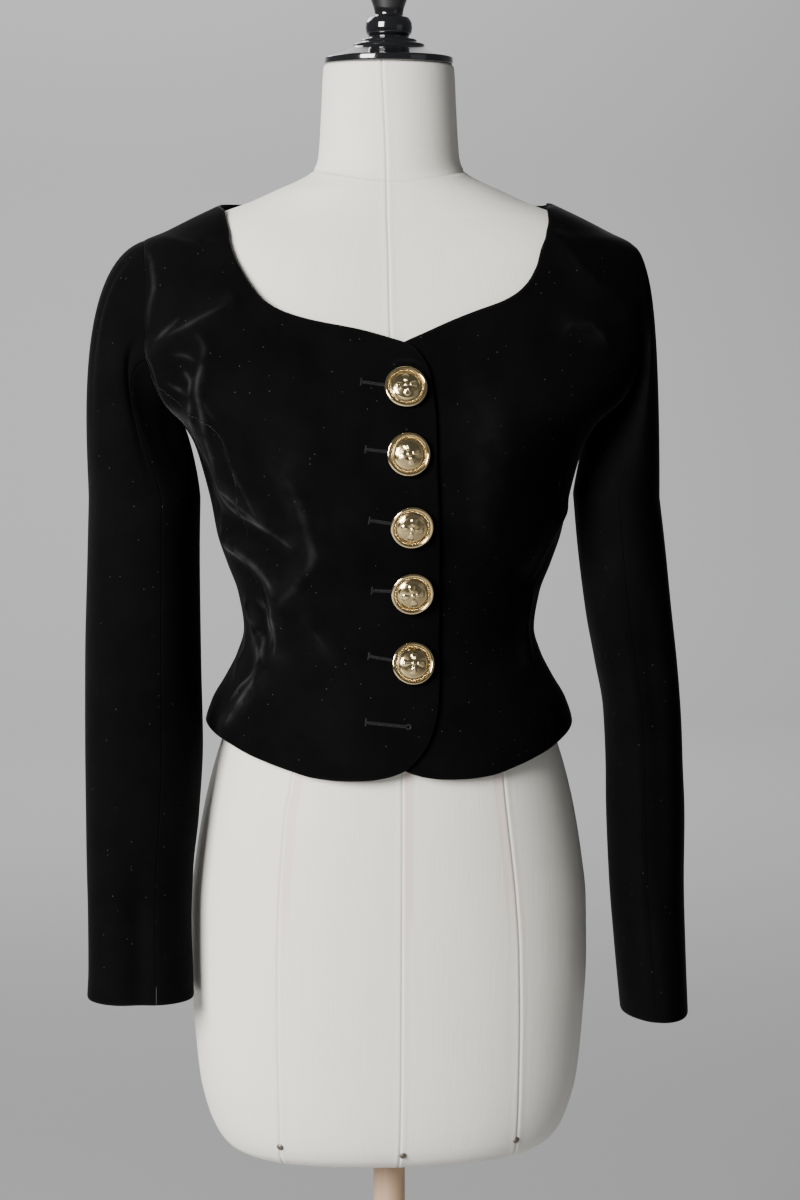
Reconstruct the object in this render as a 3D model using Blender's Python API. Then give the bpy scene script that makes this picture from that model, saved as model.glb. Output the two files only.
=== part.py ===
"""Fitted velvet jacket with five gilt buttons, worn by a limbless dress form on its stand.

Metres, +Z up. The front faces -Y and the wearer's left is +X. The origin is the centre of
the base's underside, on the pole's axis. A cloth piece is a wall between two skins: the
outer one is read from one body surface with its folds, the inner one lies WALL below it.
Turns go round the pole's axis: 0 is the centre front, 90 degrees the wearer's left side.
"""

import math
from collections import namedtuple

import bmesh
import bpy
import numpy as np
from mathutils import Vector
from mathutils.geometry import delaunay_2d_cdt

# Cloth and clearances
WALL = 0.0020
SEAM_GAP = 0.0003
SEAT_GAP = 0.0003
PROBE = 1.0e-4

# Heights of the jacket's landmarks
SHOULDER_TIP = 1.3425
UNDERARM = 1.1880
NECK_POINT_RIGHT = 1.3728
NECK_POINT_LEFT = 1.3755

# Armhole: how far it reaches from the side towards the front and the back, in degrees
ARMHOLE_FRONT = 15.0
ARMHOLE_BACK = 14.0
ARMHOLE_ROUND = 0.70
ARMHOLE_STEP = 15
FRONT_NOTCH = 120
BACK_NOTCH = 240

# The wearer's right front laps over the left
LAP_LIFT = WALL + 0.0016
LAP_FULL_FROM = -0.034
LAP_FADES_AT = -0.070

# Points along each edge, rows of each sleeve and sides of each turned shape
SHOULDER_COLUMNS = 5
NECK_COLUMNS = 18
SEAM_ROWS = 16
EDGE_ROWS = 22
HEM_COLUMNS = 12
BACK_NECK_COLUMNS = 14
CAP_ROWS = 7
SLEEVE_ROWS = 12
TURNED_SIDES = 28
CAP_SIDES = 22
BUTTON_SIDES = 16
FORM_SIDES = 28

# Triangles that fill a panel: their step, the clear margin inside its edge as a share of
# the step, the closer rows over the shoulder, and the radius at which a turn is laid flat
FRONT_STEP = 0.0135
SIDE_STEP = 0.0160
BACK_STEP = 0.0190
EDGE_CLEAR = 0.45
SHOULDER_ROWS = (1.3270, 1.3370, 1.3460, 1.3545, 1.3630)
FLAT_RADIUS = 0.150

Section = namedtuple("Section", "height half_width front back squareness")
Fold = namedtuple("Fold", "rise width face path")
SleeveRow = namedtuple("SleeveRow", "height x y half_x half_y squareness")
SleeveCap = namedtuple("SleeveCap", "reach spring")
SleeveFold = namedtuple("SleeveFold", "rise turn width top bottom")

# Outer skin of the jacket at each height, before its folds
JACKET = (
    Section(0.895, 0.1545, 0.1180, 0.1235, 2.2),
    Section(0.915, 0.1545, 0.1165, 0.1215, 2.2),
    Section(0.940, 0.1545, 0.1145, 0.1180, 2.2),
    Section(0.960, 0.1490, 0.1110, 0.1110, 2.2),
    Section(0.980, 0.1375, 0.1060, 0.1030, 2.2),
    Section(1.000, 0.1275, 0.1015, 0.0960, 2.1),
    Section(1.020, 0.1220, 0.0990, 0.0925, 2.1),
    Section(1.050, 0.1265, 0.1020, 0.0945, 2.1),
    Section(1.075, 0.1355, 0.1085, 0.1000, 2.2),
    Section(1.100, 0.1440, 0.1165, 0.1055, 2.2),
    Section(1.130, 0.1500, 0.1240, 0.1105, 2.3),
    Section(1.160, 0.1575, 0.1270, 0.1130, 2.4),
    Section(1.175, 0.1625, 0.1262, 0.1136, 2.5),
    Section(1.190, 0.1715, 0.1245, 0.1140, 2.6),
    Section(1.210, 0.1930, 0.1180, 0.1140, 2.8),
    Section(1.235, 0.2085, 0.1075, 0.1130, 3.0),
    Section(1.260, 0.2180, 0.0985, 0.1110, 3.0),
    Section(1.290, 0.2225, 0.0900, 0.1075, 2.9),
    Section(1.320, 0.2190, 0.0815, 0.1020, 2.7),
    Section(1.3345, 0.2120, 0.0765, 0.0980, 2.6),
    Section(1.3425, 0.2035, 0.0740, 0.0955, 2.5),
    Section(1.350, 0.1860, 0.0710, 0.0925, 2.4),
    Section(1.3615, 0.1630, 0.0665, 0.0880, 2.3),
    Section(1.3728, 0.1390, 0.0610, 0.0830, 2.2),
    Section(1.385, 0.1120, 0.0570, 0.0760, 2.2),
)

# Canvas surface of the dress form, with its neck
FORM = (
    Section(0.5740, 0.1130, 0.0640, 0.0800, 2.2),
    Section(0.5775, 0.1250, 0.0760, 0.0930, 2.2),
    Section(0.5850, 0.1375, 0.0860, 0.1040, 2.2),
    Section(0.5960, 0.1460, 0.0920, 0.1105, 2.2),
    Section(0.6120, 0.1530, 0.0960, 0.1150, 2.2),
    Section(0.6400, 0.1600, 0.0995, 0.1190, 2.2),
    Section(0.6900, 0.1650, 0.1025, 0.1230, 2.2),
    Section(0.7400, 0.1678, 0.1045, 0.1255, 2.2),
    Section(0.7900, 0.1672, 0.1062, 0.1258, 2.2),
    Section(0.8300, 0.1628, 0.1075, 0.1235, 2.2),
    Section(0.8700, 0.1560, 0.1085, 0.1190, 2.2),
    Section(0.9050, 0.1475, 0.1075, 0.1130, 2.2),
    Section(0.9450, 0.1345, 0.1030, 0.1045, 2.2),
    Section(0.9850, 0.1220, 0.0960, 0.0930, 2.1),
    Section(1.0200, 0.1150, 0.0915, 0.0860, 2.1),
    Section(1.0550, 0.1200, 0.0945, 0.0885, 2.1),
    Section(1.1000, 0.1350, 0.1060, 0.0980, 2.2),
    Section(1.1500, 0.1450, 0.1170, 0.1060, 2.3),
    Section(1.1900, 0.1540, 0.1165, 0.1080, 2.4),
    Section(1.2300, 0.1665, 0.1040, 0.1070, 2.6),
    Section(1.2700, 0.1770, 0.0905, 0.1040, 2.8),
    Section(1.3000, 0.1810, 0.0825, 0.1000, 2.9),
    Section(1.3300, 0.1830, 0.0745, 0.0935, 2.8),
    Section(1.3450, 0.1805, 0.0685, 0.0875, 2.5),
    Section(1.3520, 0.1765, 0.0655, 0.0845, 2.3),
    Section(1.3570, 0.1664, 0.0635, 0.0815, 2.2),
    Section(1.3620, 0.1532, 0.0612, 0.0787, 2.2),
    Section(1.3680, 0.1335, 0.0600, 0.0765, 2.2),
    Section(1.3740, 0.1165, 0.0590, 0.0735, 2.2),
    Section(1.3850, 0.0920, 0.0580, 0.0680, 2.2),
    Section(1.3930, 0.0740, 0.0560, 0.0610, 2.1),
    Section(1.4000, 0.0630, 0.0550, 0.0560, 2.0),
    Section(1.4120, 0.0585, 0.0545, 0.0530, 2.0),
    Section(1.4500, 0.0560, 0.0525, 0.0510, 2.0),
    Section(1.4855, 0.0540, 0.0510, 0.0500, 2.0),
    Section(1.4876, 0.0525, 0.0495, 0.0485, 2.0),
)

# Neckline from the neck point down to the front corner: distance to the wearer's own side
# of the centre front, and height. A negative distance lies past the centre front.
NECKLINE_RIGHT = (
    (0.1391, 1.3685), (0.1387, 1.3630), (0.1368, 1.3470), (0.1305, 1.3229), (0.1211, 1.3065),
    (0.1110, 1.2945), (0.0977, 1.2862), (0.0794, 1.2800), (0.0509, 1.2735),
    (0.0307, 1.2688), (0.0103, 1.2630), (-0.0020, 1.2590), (-0.0110, 1.2535),
)
NECKLINE_LEFT = (
    (0.1288, 1.3700), (0.1275, 1.3650), (0.1255, 1.3560), (0.1190, 1.3400), (0.1120, 1.3205),
    (0.1039, 1.3078), (0.0945, 1.2995), (0.0822, 1.2930), (0.0609, 1.2855),
    (0.0402, 1.2775), (0.0192, 1.2683), (0.0020, 1.2608), (-0.0110, 1.2535),
)

# Front edge from the top corner to the bottom corner: distance past the centre front
FRONT_EDGE = (
    (0.0110, 1.2535), (0.0165, 1.2457), (0.0210, 1.2356), (0.0234, 1.2179),
    (0.0244, 1.1715), (0.0262, 1.1300), (0.0285, 1.0800), (0.0297, 1.0316),
    (0.0297, 0.9950), (0.0282, 0.9684), (0.0255, 0.9540), (0.0210, 0.9400),
    (0.0154, 0.9303), (0.0074, 0.9207),
)

# Hem of a front from its bottom corner to the side: turn in degrees, height
FRONT_HEM = (
    (-4.0, 0.9207), (0.7, 0.9139), (8.0, 0.9090), (16.0, 0.9068), (24.0, 0.9065),
    (34.0, 0.9082), (45.0, 0.9145), (58.0, 0.9235),
)
SIDE_HEM = ((58.0, 0.9235), (72.0, 0.9340), (90.0, 0.9415), (117.0, 0.9420))
BACK_HEM = ((117.0, 0.9420), (140.0, 0.9370), (165.0, 0.9320), (180.0, 0.9310))

# Back neckline between the neck points: turn in degrees, height
BACK_NECKLINE = (
    (100.0, 1.3740), (112.0, 1.3745), (128.0, 1.3660), (152.0, 1.3560), (180.0, 1.3520),
    (208.0, 1.3560), (232.0, 1.3660), (248.0, 1.3745), (260.0, 1.3740),
)

# Seams that the side panel shares with the front and the back: turn in degrees, height
FRONT_SEAM = (
    (58.0, 0.9235), (62.0, 0.975), (66.0, 1.020), (64.5, 1.070), (61.5, 1.120),
    (61.0, 1.165), (65.5, 1.198),
)
BACK_SEAM = (
    (117.0, 0.9420), (114.0, 0.980), (112.0, 1.020), (114.0, 1.080), (115.0, 1.140),
    (111.0, 1.190),
)

# Main folds: how far a ridge rises (a trough is negative), its half width, the face it
# lies on, and its path as distance to the wearer's left and height
FOLDS = (
    Fold(0.0060, 0.034, "front", ((-0.084, 1.168),)),
    Fold(0.0060, 0.034, "front", ((0.084, 1.168),)),
    Fold(0.0035, 0.008, "front", ((-0.200, 1.252), (-0.178, 1.270), (-0.160, 1.279), (-0.136, 1.294))),
    Fold(-0.0055, 0.018, "front", ((0.2150, 1.3370),)),
    Fold(0.0030, 0.008, "front", ((-0.160, 1.264), (-0.158, 1.252), (-0.162, 1.228), (-0.168, 1.219))),
    Fold(0.0030, 0.009, "front", (
        (-0.168, 1.205), (-0.156, 1.176), (-0.148, 1.155), (-0.141, 1.138), (-0.128, 1.127),
        (-0.112, 1.115), (-0.090, 1.098),
    )),
    Fold(-0.0030, 0.018, "front", ((-0.153, 1.150), (-0.148, 1.122))),
    Fold(-0.0022, 0.009, "front", ((-0.146, 1.122), (-0.128, 1.106), (-0.106, 1.090))),
    Fold(0.0050, 0.009, "front", ((-0.138, 1.097), (-0.127, 1.090), (-0.112, 1.078), (-0.100, 1.060))),
    Fold(0.0040, 0.014, "front", (
        (-0.094, 1.159), (-0.085, 1.131), (-0.074, 1.096), (-0.074, 1.088), (-0.081, 1.071),
        (-0.093, 1.052),
    )),
    Fold(0.0045, 0.009, "front", ((-0.101, 1.052), (-0.1015, 1.031), (-0.099, 1.003))),
    Fold(-0.0020, 0.008, "front", ((-0.108, 1.052), (-0.107, 1.028), (-0.105, 1.004))),
    Fold(0.0040, 0.008, "front", ((-0.119, 1.042), (-0.114, 1.024), (-0.111, 1.003), (-0.110, 0.981))),
    Fold(0.0030, 0.009, "front", ((-0.110, 0.989), (-0.123, 0.972), (-0.141, 0.946))),
    Fold(0.0025, 0.011, "front", ((-0.076, 1.031), (-0.059, 1.008))),
    Fold(0.0030, 0.010, "front", ((0.140, 1.274), (0.155, 1.272), (0.165, 1.264))),
    Fold(0.0030, 0.011, "front", ((0.131, 1.344), (0.151, 1.315), (0.168, 1.303), (0.190, 1.287))),
    Fold(0.0022, 0.016, "front", ((0.066, 1.218), (0.067, 1.105))),
    Fold(0.0035, 0.011, "front", ((0.140, 1.120), (0.124, 1.098), (0.110, 1.074))),
    Fold(0.0030, 0.010, "front", ((0.110, 1.048), (0.107, 1.024), (0.108, 0.998))),
    Fold(0.0030, 0.012, "back", ((-0.110, 1.078), (-0.088, 1.060), (-0.060, 1.046))),
    Fold(0.0035, 0.012, "back", ((0.112, 1.082), (0.092, 1.062), (0.066, 1.048))),
    Fold(0.0030, 0.012, "back", ((-0.070, 1.036), (-0.050, 1.018), (-0.034, 0.996))),
    Fold(0.0030, 0.012, "back", ((0.078, 1.034), (0.054, 1.020), (0.030, 1.004))),
    Fold(0.0030, 0.014, "back", ((-0.176, 1.240), (-0.150, 1.222), (-0.116, 1.214))),
    Fold(0.0030, 0.014, "back", ((0.180, 1.236), (0.152, 1.226), (0.120, 1.210))),
)
FOLD_STEPS = 24

# Sleeves, from below the underarm to the cuff. x is the distance out from the centre, y is
# the sleeve's middle, and the half sizes are those of its oval.
SLEEVE_RIGHT = (
    SleeveRow(1.130, 0.2045, -0.012, 0.0462, 0.0620, 2.1),
    SleeveRow(1.080, 0.2055, -0.015, 0.0468, 0.0585, 2.1),
    SleeveRow(1.000, 0.2066, -0.019, 0.0483, 0.0530, 2.1),
    SleeveRow(0.930, 0.2068, -0.023, 0.0488, 0.0480, 2.1),
    SleeveRow(0.868, 0.2087, -0.026, 0.0468, 0.0460, 2.1),
    SleeveRow(0.825, 0.2110, -0.028, 0.0442, 0.0450, 2.1),
    SleeveRow(0.780, 0.2117, -0.030, 0.0429, 0.0440, 2.1),
    SleeveRow(0.737, 0.2112, -0.031, 0.0436, 0.0415, 2.1),
    SleeveRow(0.717, 0.2115, -0.032, 0.0444, 0.0405, 2.1),
)
SLEEVE_LEFT = (
    SleeveRow(1.130, 0.1905, -0.010, 0.0343, 0.0690, 2.0),
    SleeveRow(1.085, 0.1946, -0.013, 0.0349, 0.0655, 2.0),
    SleeveRow(1.032, 0.2005, -0.016, 0.0346, 0.0610, 1.95),
    SleeveRow(0.992, 0.2063, -0.018, 0.0333, 0.0585, 1.9),
    SleeveRow(0.951, 0.2116, -0.020, 0.0315, 0.0560, 1.85),
    SleeveRow(0.910, 0.2137, -0.022, 0.0317, 0.0540, 1.85),
    SleeveRow(0.869, 0.2149, -0.024, 0.0326, 0.0525, 1.85),
    SleeveRow(0.810, 0.2159, -0.026, 0.0312, 0.0520, 1.85),
    SleeveRow(0.746, 0.2192, -0.028, 0.0293, 0.0515, 1.9),
    SleeveRow(0.694, 0.2228, -0.029, 0.0278, 0.0520, 1.9),
)
SLEEVE_FOLDS_RIGHT = (
    SleeveFold(-0.0060, 86, 16, 0.830, 0.700),
    SleeveFold(0.0030, 52, 20, 1.180, 0.760),
    SleeveFold(-0.0030, 150, 24, 1.120, 0.960),
    SleeveFold(0.0030, 285, 22, 1.100, 0.800),
    SleeveFold(-0.0040, 240, 18, 0.860, 0.700),
)
SLEEVE_FOLDS_LEFT = (
    SleeveFold(0.0050, 122, 13, 1.090, 0.690),
    SleeveFold(-0.0040, 84, 18, 1.060, 0.780),
    SleeveFold(0.0030, 40, 22, 1.150, 0.900),
    SleeveFold(-0.0030, 250, 22, 1.020, 0.800),
    SleeveFold(0.0030, 300, 20, 0.960, 0.700),
)
CAP_RIGHT = SleeveCap(0.88, 16.0)
CAP_LEFT = SleeveCap(0.38, 6.0)
CAP_FALL = 0.50
UNDERARM_LEAN = -0.40
LEAN_EASES = 2.40
FRONT_SLEEVE_SEAM = 105
BACK_SLEEVE_SEAM = 255
SLEEVE_SEAM_TURN = 0.90

# Buttons: place from the centre front and height, down the edge that they close
BUTTONS = ((0.0006, 1.2222), (0.0012, 1.1708), (0.0045, 1.1138), (0.0065, 1.0595), (0.0075, 1.0000))
BUTTON_RADIUS = 0.0176

# Turned shapes, as radius and height, from the lowest middle to the highest middle
BUTTON_PROFILE = (
    (0.0, 0.0), (0.0162, 0.0), (0.0176, 0.0014), (0.0176, 0.0028), (0.0166, 0.0040),
    (0.0152, 0.0040), (0.0141, 0.0028), (0.0128, 0.0034), (0.0095, 0.0060), (0.0050, 0.0077),
    (0.0, 0.0082),
)
NAIL_PROFILE = ((0.0, 0.0), (0.0030, 0.0), (0.0030, 0.0006), (0.0018, 0.0015), (0.0, 0.0018))
NAILS = ((-0.0985, 0.5965), (0.0015, 0.5910), (0.0982, 0.5965))
NECK_TOP = 1.4876
CAP_PROFILE = (
    (0.0, 0.0), (0.0525, 0.0), (0.0533, 0.0010), (0.0533, 0.0052), (0.0525, 0.0060),
    (0.0470, 0.0076), (0.0380, 0.0106), (0.0300, 0.0137), (0.0296, 0.0168), (0.0235, 0.0177),
    (0.0231, 0.0205), (0.0168, 0.0214), (0.0166, 0.0228), (0.0188, 0.0255), (0.0195, 0.0300),
    (0.0190, 0.0345), (0.0166, 0.0385), (0.0122, 0.0398), (0.0117, 0.0415), (0.0126, 0.0460),
    (0.0157, 0.0545), (0.0185, 0.0640), (0.0197, 0.0740), (0.0182, 0.0840), (0.0130, 0.0915),
    (0.0065, 0.0950), (0.0, 0.0958),
)
BASE_PROFILE = (
    (0.0, 0.0), (0.1960, 0.0), (0.2000, 0.0030), (0.2000, 0.0120), (0.1965, 0.0165),
    (0.1880, 0.0190), (0.0700, 0.0250), (0.0480, 0.0270), (0.0400, 0.0330), (0.0385, 0.0420),
    (0.0300, 0.0520), (0.0265, 0.0620), (0.0240, 0.0640), (0.0, 0.0640),
)
POLE_RADIUS = 0.0135

Finish = namedtuple("Finish", "colour roughness metallic")
VELVET = Finish((0.010, 0.010, 0.012), 0.95, 0.0)
CANVAS = Finish((0.74, 0.71, 0.64), 0.85, 0.0)
LACQUER = Finish((0.008, 0.008, 0.008), 0.12, 0.0)
WOOD = Finish((0.60, 0.42, 0.29), 0.50, 0.0)
GILT = Finish((0.80, 0.62, 0.30), 0.18, 1.0)
STEEL = Finish((0.30, 0.28, 0.25), 0.45, 1.0)


def smooth(where, knots, values):
    """Reads a table between its rows with a cubic that never overshoots a row."""
    knots, values = np.asarray(knots, float), np.asarray(values, float)
    step = np.diff(knots)
    slope = np.diff(values) / step
    tangent = np.concatenate([slope[:1], np.zeros(len(slope) - 1), slope[-1:]])
    rising = slope[:-1] * slope[1:] > 0
    before, after = slope[:-1][rising], slope[1:][rising]
    tangent[1:-1][rising] = 2 * before * after / (before + after)
    where = np.clip(where, knots[0], knots[-1])
    cell = np.clip(np.searchsorted(knots, where, side="right") - 1, 0, len(step) - 1)
    t = (where - knots[cell]) / step[cell]
    start = (1 + 2 * t) * (1 - t) ** 2 * values[cell] + t * (1 - t) ** 2 * step[cell] * tangent[cell]
    end = t**2 * (3 - 2 * t) * values[cell + 1] + t**2 * (t - 1) * step[cell] * tangent[cell + 1]
    return start + end


def rounded_path(points, count):
    """A smooth curve through the points, as count points evenly spaced along it."""
    points = np.asarray(points, float)
    length = np.concatenate([[0], np.cumsum(np.linalg.norm(np.diff(points, axis=0), axis=1))])
    even = np.linspace(0, length[-1], count)
    return np.stack([smooth(even, length, column) for column in points.T], -1)


def section(table, height):
    heights = [row.height for row in table]
    names = ("half_width", "front", "back", "squareness")
    return [smooth(height, heights, [getattr(row, name) for row in table]) for name in names]


def body_point(table, turn, height):
    """A point of a body surface: a superellipse at each height, deeper or flatter in front."""
    half_width, front, back, square = section(table, height)
    side, ahead = np.sin(turn), np.cos(turn)
    depth = np.where(ahead > 0, front, back)
    radius = (np.abs(side / half_width) ** square + np.abs(ahead / depth) ** square) ** (-1 / square)
    return np.stack([radius * side, -radius * ahead, height + 0 * radius], -1)


def turn_at(table, x, height, face="front"):
    """The turn at which the surface has this x on the given face."""
    half_width, front, back, square = section(table, height)
    depth = front if face == "front" else -back
    share = np.clip(np.abs(x) / half_width, 0, 1)
    return np.arctan2(x, depth * (1 - share**square) ** (1 / square))


def distance_to_path(points, path):
    """How far each point is from the nearest point of a polyline."""
    if len(path) == 1:
        return np.linalg.norm(points - path[0], axis=-1)
    nearest = np.full(points.shape[:-1], np.inf)
    for start, end in zip(path[:-1], path[1:]):
        run = end - start
        share = np.clip((points - start) @ run / (run @ run), 0, 1)
        gap = points - start - share[..., None] * run
        nearest = np.minimum(nearest, np.linalg.norm(gap, axis=-1))
    return nearest


def fold_paths():
    """Each fold with its path laid on the jacket's surface."""
    for fold in FOLDS:
        flat = rounded_path(fold.path, FOLD_STEPS) if len(fold.path) > 1 else np.array(fold.path)
        turn = turn_at(JACKET, flat[:, 0], flat[:, 1], fold.face)
        yield fold, body_point(JACKET, turn, flat[:, 1])


FOLD_PATHS = tuple(fold_paths())


def way_out(point_of, u, v):
    """The unit normal of a surface given as a function of two numbers."""
    along_u = point_of(u + PROBE, v) - point_of(u - PROBE, v)
    along_v = point_of(u, v + PROBE) - point_of(u, v - PROBE)
    normal = np.cross(along_u, along_v)
    return normal / np.linalg.norm(normal, axis=-1, keepdims=True)


def plain_jacket(turn, height):
    return body_point(JACKET, turn, height)


def jacket_point(turn, height):
    """A point of the jacket's outer skin, with its folds."""
    point = plain_jacket(turn, height)
    out = way_out(plain_jacket, turn, height)
    rise = 0
    for fold, path in FOLD_PATHS:
        rise = rise + fold.rise * np.exp(-((distance_to_path(point, path) / fold.width) ** 2))
    return point + out * rise[..., None]


def armhole(turn_round, side):
    """Turn and height of the armhole: 0 is the shoulder tip, 90 the front, 180 the underarm."""
    angle = np.radians(turn_round)
    middle, half = (SHOULDER_TIP + UNDERARM) / 2, (SHOULDER_TIP - UNDERARM) / 2
    lean = np.sin(angle)
    reach = np.where(lean > 0, ARMHOLE_FRONT, ARMHOLE_BACK) * np.abs(lean) ** ARMHOLE_ROUND
    turn = np.radians(90 - np.sign(lean) * reach)
    return np.stack([side * turn, middle + half * np.cos(angle)], -1)


def in_turns(rows, side):
    """A table of degrees and heights as turns and heights on one side."""
    rows = np.asarray(rows, float)
    return np.stack([side * np.radians(rows[:, 0]), rows[:, 1]], -1)


def on_front(rows, side):
    """A table of distances and heights on the front as turns and heights."""
    rows = np.asarray(rows, float)
    return np.stack([turn_at(JACKET, side * rows[:, 0], rows[:, 1]), rows[:, 1]], -1)


def inside(points, outline):
    """Which points lie within a closed outline, by counting the edges that a ray crosses."""
    start, end = outline, np.roll(outline, -1, axis=0)
    x, y = points[:, :1], points[:, 1:]
    spanned = (start[:, 1] > y) != (end[:, 1] > y)
    rise = np.where(end[:, 1] == start[:, 1], 1.0, end[:, 1] - start[:, 1])
    crossing = start[:, 0] + (y - start[:, 1]) / rise * (end[:, 0] - start[:, 0])
    return ((x < crossing) & spanned).sum(1) % 2 == 1


def even_triangles(outline, step):
    """Flat points and triangles that fill an outline; its own points come first, in order."""
    low, high = outline.min(0), outline.max(0)
    rows = np.concatenate([np.arange(low[1] + step / 2, SHOULDER_ROWS[0], step), SHOULDER_ROWS])
    spots = []
    for number, row in enumerate(rows):
        across = np.arange(low[0] + (number % 2) * step / 2, high[0], step)
        spots.append(np.stack([across, np.full(len(across), row)], -1))
    spots = np.concatenate(spots)
    closed = np.concatenate([outline, outline[:1]])
    spots = spots[inside(spots, outline) & (distance_to_path(spots, closed) > EDGE_CLEAR * step)]
    points = np.concatenate([outline, spots])
    flat = [Vector(point) for point in points]
    made = delaunay_2d_cdt(flat, [], [list(range(len(outline)))], 1, 1.0e-7, True)
    source = np.array([ids[0] for ids in made[3]])
    faces = source[np.array(made[2])]
    return points, [tuple(face) for face in faces[inside(points[faces].mean(1), outline)]]


def shift(edge, metres):
    """An edge of turns and heights, moved round the body by a distance."""
    around = np.linalg.norm(plain_jacket(edge[:, 0], edge[:, 1])[:, :2], axis=-1)
    return edge + np.stack([metres / around, 0 * around], -1)


def material(name, finish):
    made = bpy.data.materials.new(name)
    made.use_nodes = True
    shader = made.node_tree.nodes["Principled BSDF"]
    shader.inputs["Base Color"].default_value = (*finish.colour, 1)
    shader.inputs["Roughness"].default_value = finish.roughness
    shader.inputs["Metallic"].default_value = finish.metallic
    return made


def mesh_object(name, points, faces, finish):
    """An object whose faces point out and are shaded smooth up to its sharp edges."""
    mesh = bpy.data.meshes.new(name)
    mesh.from_pydata([tuple(point) for point in points], [], [tuple(face) for face in faces])
    editable = bmesh.new()
    editable.from_mesh(mesh)
    bmesh.ops.recalc_face_normals(editable, faces=editable.faces)
    editable.to_mesh(mesh)
    editable.free()
    mesh.shade_smooth()
    mesh.set_sharp_from_angle(angle=math.radians(40))
    mesh.materials.append(material(name, finish))
    made = bpy.data.objects.new(name, mesh)
    bpy.context.scene.collection.objects.link(made)
    return made


def wall_object(name, outer, inner, faces, rim, finish):
    """A closed wall between two skins with the same faces, joined round the rim's points."""
    count = len(outer)
    under = [tuple(corner + count for corner in face[::-1]) for face in faces]
    sides = [(a, b, b + count, a + count) for a, b in zip(rim, rim[1:] + rim[:1])]
    return mesh_object(name, np.concatenate([outer, inner]), [*faces, *under, *sides], finish)


def grid_wall(name, outer, inner, finish):
    """A closed wall between two grids of points of the same shape."""
    rows, columns = outer.shape[:2]
    index = np.arange(rows * columns).reshape(rows, columns)
    cells = np.stack([index[:-1, :-1], index[:-1, 1:], index[1:, 1:], index[1:, :-1]], -1)
    rim = [*index[0], *index[1:, -1], *index[-1, -2::-1], *index[-2:0:-1, 0]]
    faces = [tuple(cell) for cell in cells.reshape(-1, 4)]
    return wall_object(name, outer.reshape(-1, 3), inner.reshape(-1, 3), faces, rim, finish)


def joined(*edges):
    """One closed outline from edges that each start where the one before ends."""
    return np.concatenate([edge[:-1] for edge in edges])


def panel(name, outline, step, lift=None):
    """A cut piece of the jacket's body from its outline in turns and heights."""
    flat, faces = even_triangles(outline * (FLAT_RADIUS, 1), step)
    turn, height = flat[:, 0] / FLAT_RADIUS, flat[:, 1]
    outer = jacket_point(turn, height)
    out = way_out(jacket_point, turn, height)
    if lift is not None:
        outer = outer + out * lift(outer[..., 0])[..., None]
    return wall_object(name, outer, outer - out * WALL, faces, list(range(len(outline))), VELVET)


def lap_lift(x):
    """How far the lapping front stands off the body surface, by its x."""
    share = np.clip((x - LAP_FADES_AT) / (LAP_FULL_FROM - LAP_FADES_AT), 0, 1)
    return LAP_LIFT * share * share * (3 - 2 * share)


def seam_line(rows, notch, side, shifted):
    """A side seam from the hem up to its notch on the armhole, moved half a gap round."""
    line = np.concatenate([in_turns(rows, side), armhole([notch], side)])
    return shift(rounded_path(line, SEAM_ROWS + 1), shifted * SEAM_GAP / 2)


def shoulder_line(neck_point, side, shifted):
    """A shoulder seam from its tip up to the neck point, moved half a gap round."""
    heights = np.linspace(SHOULDER_TIP, neck_point, SHOULDER_COLUMNS + 1)
    line = np.stack([np.full(len(heights), side * math.pi / 2), heights], -1)
    return shift(line, shifted * SEAM_GAP / 2)


def front_panel(name, side, neck_point, neckline, lift=None):
    """One front: hem, rounded front edge, neckline, shoulder, armhole and side seam."""
    shoulder = shoulder_line(neck_point, side, -side)
    seam = seam_line(FRONT_SEAM, FRONT_NOTCH, side, -side)
    edge = rounded_path(on_front(np.array(FRONT_EDGE[::-1]) * (-1, 1), side), EDGE_ROWS + 1)
    neck = np.concatenate([shoulder[-1:], on_front(neckline, side)])
    neck = rounded_path(neck, NECK_COLUMNS + 1)[::-1]
    hem = rounded_path(in_turns(FRONT_HEM[::-1], side), HEM_COLUMNS + 1)
    hole = armhole(np.arange(0, FRONT_NOTCH + 1, ARMHOLE_STEP), side)
    hem[0], hem[-1], neck[0] = seam[0], edge[0], edge[-1]
    hole[0], hole[-1] = shoulder[0], seam[-1]
    return panel(name, joined(hem, edge, neck, shoulder[::-1], hole, seam[::-1]), FRONT_STEP, lift)


def side_panel(name, side):
    """One side panel, between the front's and the back's seams and under the armhole."""
    front = seam_line(FRONT_SEAM, FRONT_NOTCH, side, side)
    back = seam_line(BACK_SEAM, BACK_NOTCH, side, -side)
    hole = armhole(np.arange(BACK_NOTCH, FRONT_NOTCH - 1, -ARMHOLE_STEP), side)
    hem = rounded_path(in_turns(SIDE_HEM, side), HEM_COLUMNS // 2 + 1)
    hem[0], hem[-1] = front[0], back[0]
    hole[0], hole[-1] = back[-1], front[-1]
    return panel(name, joined(hem, back, hole, front[::-1]), SIDE_STEP)


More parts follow.
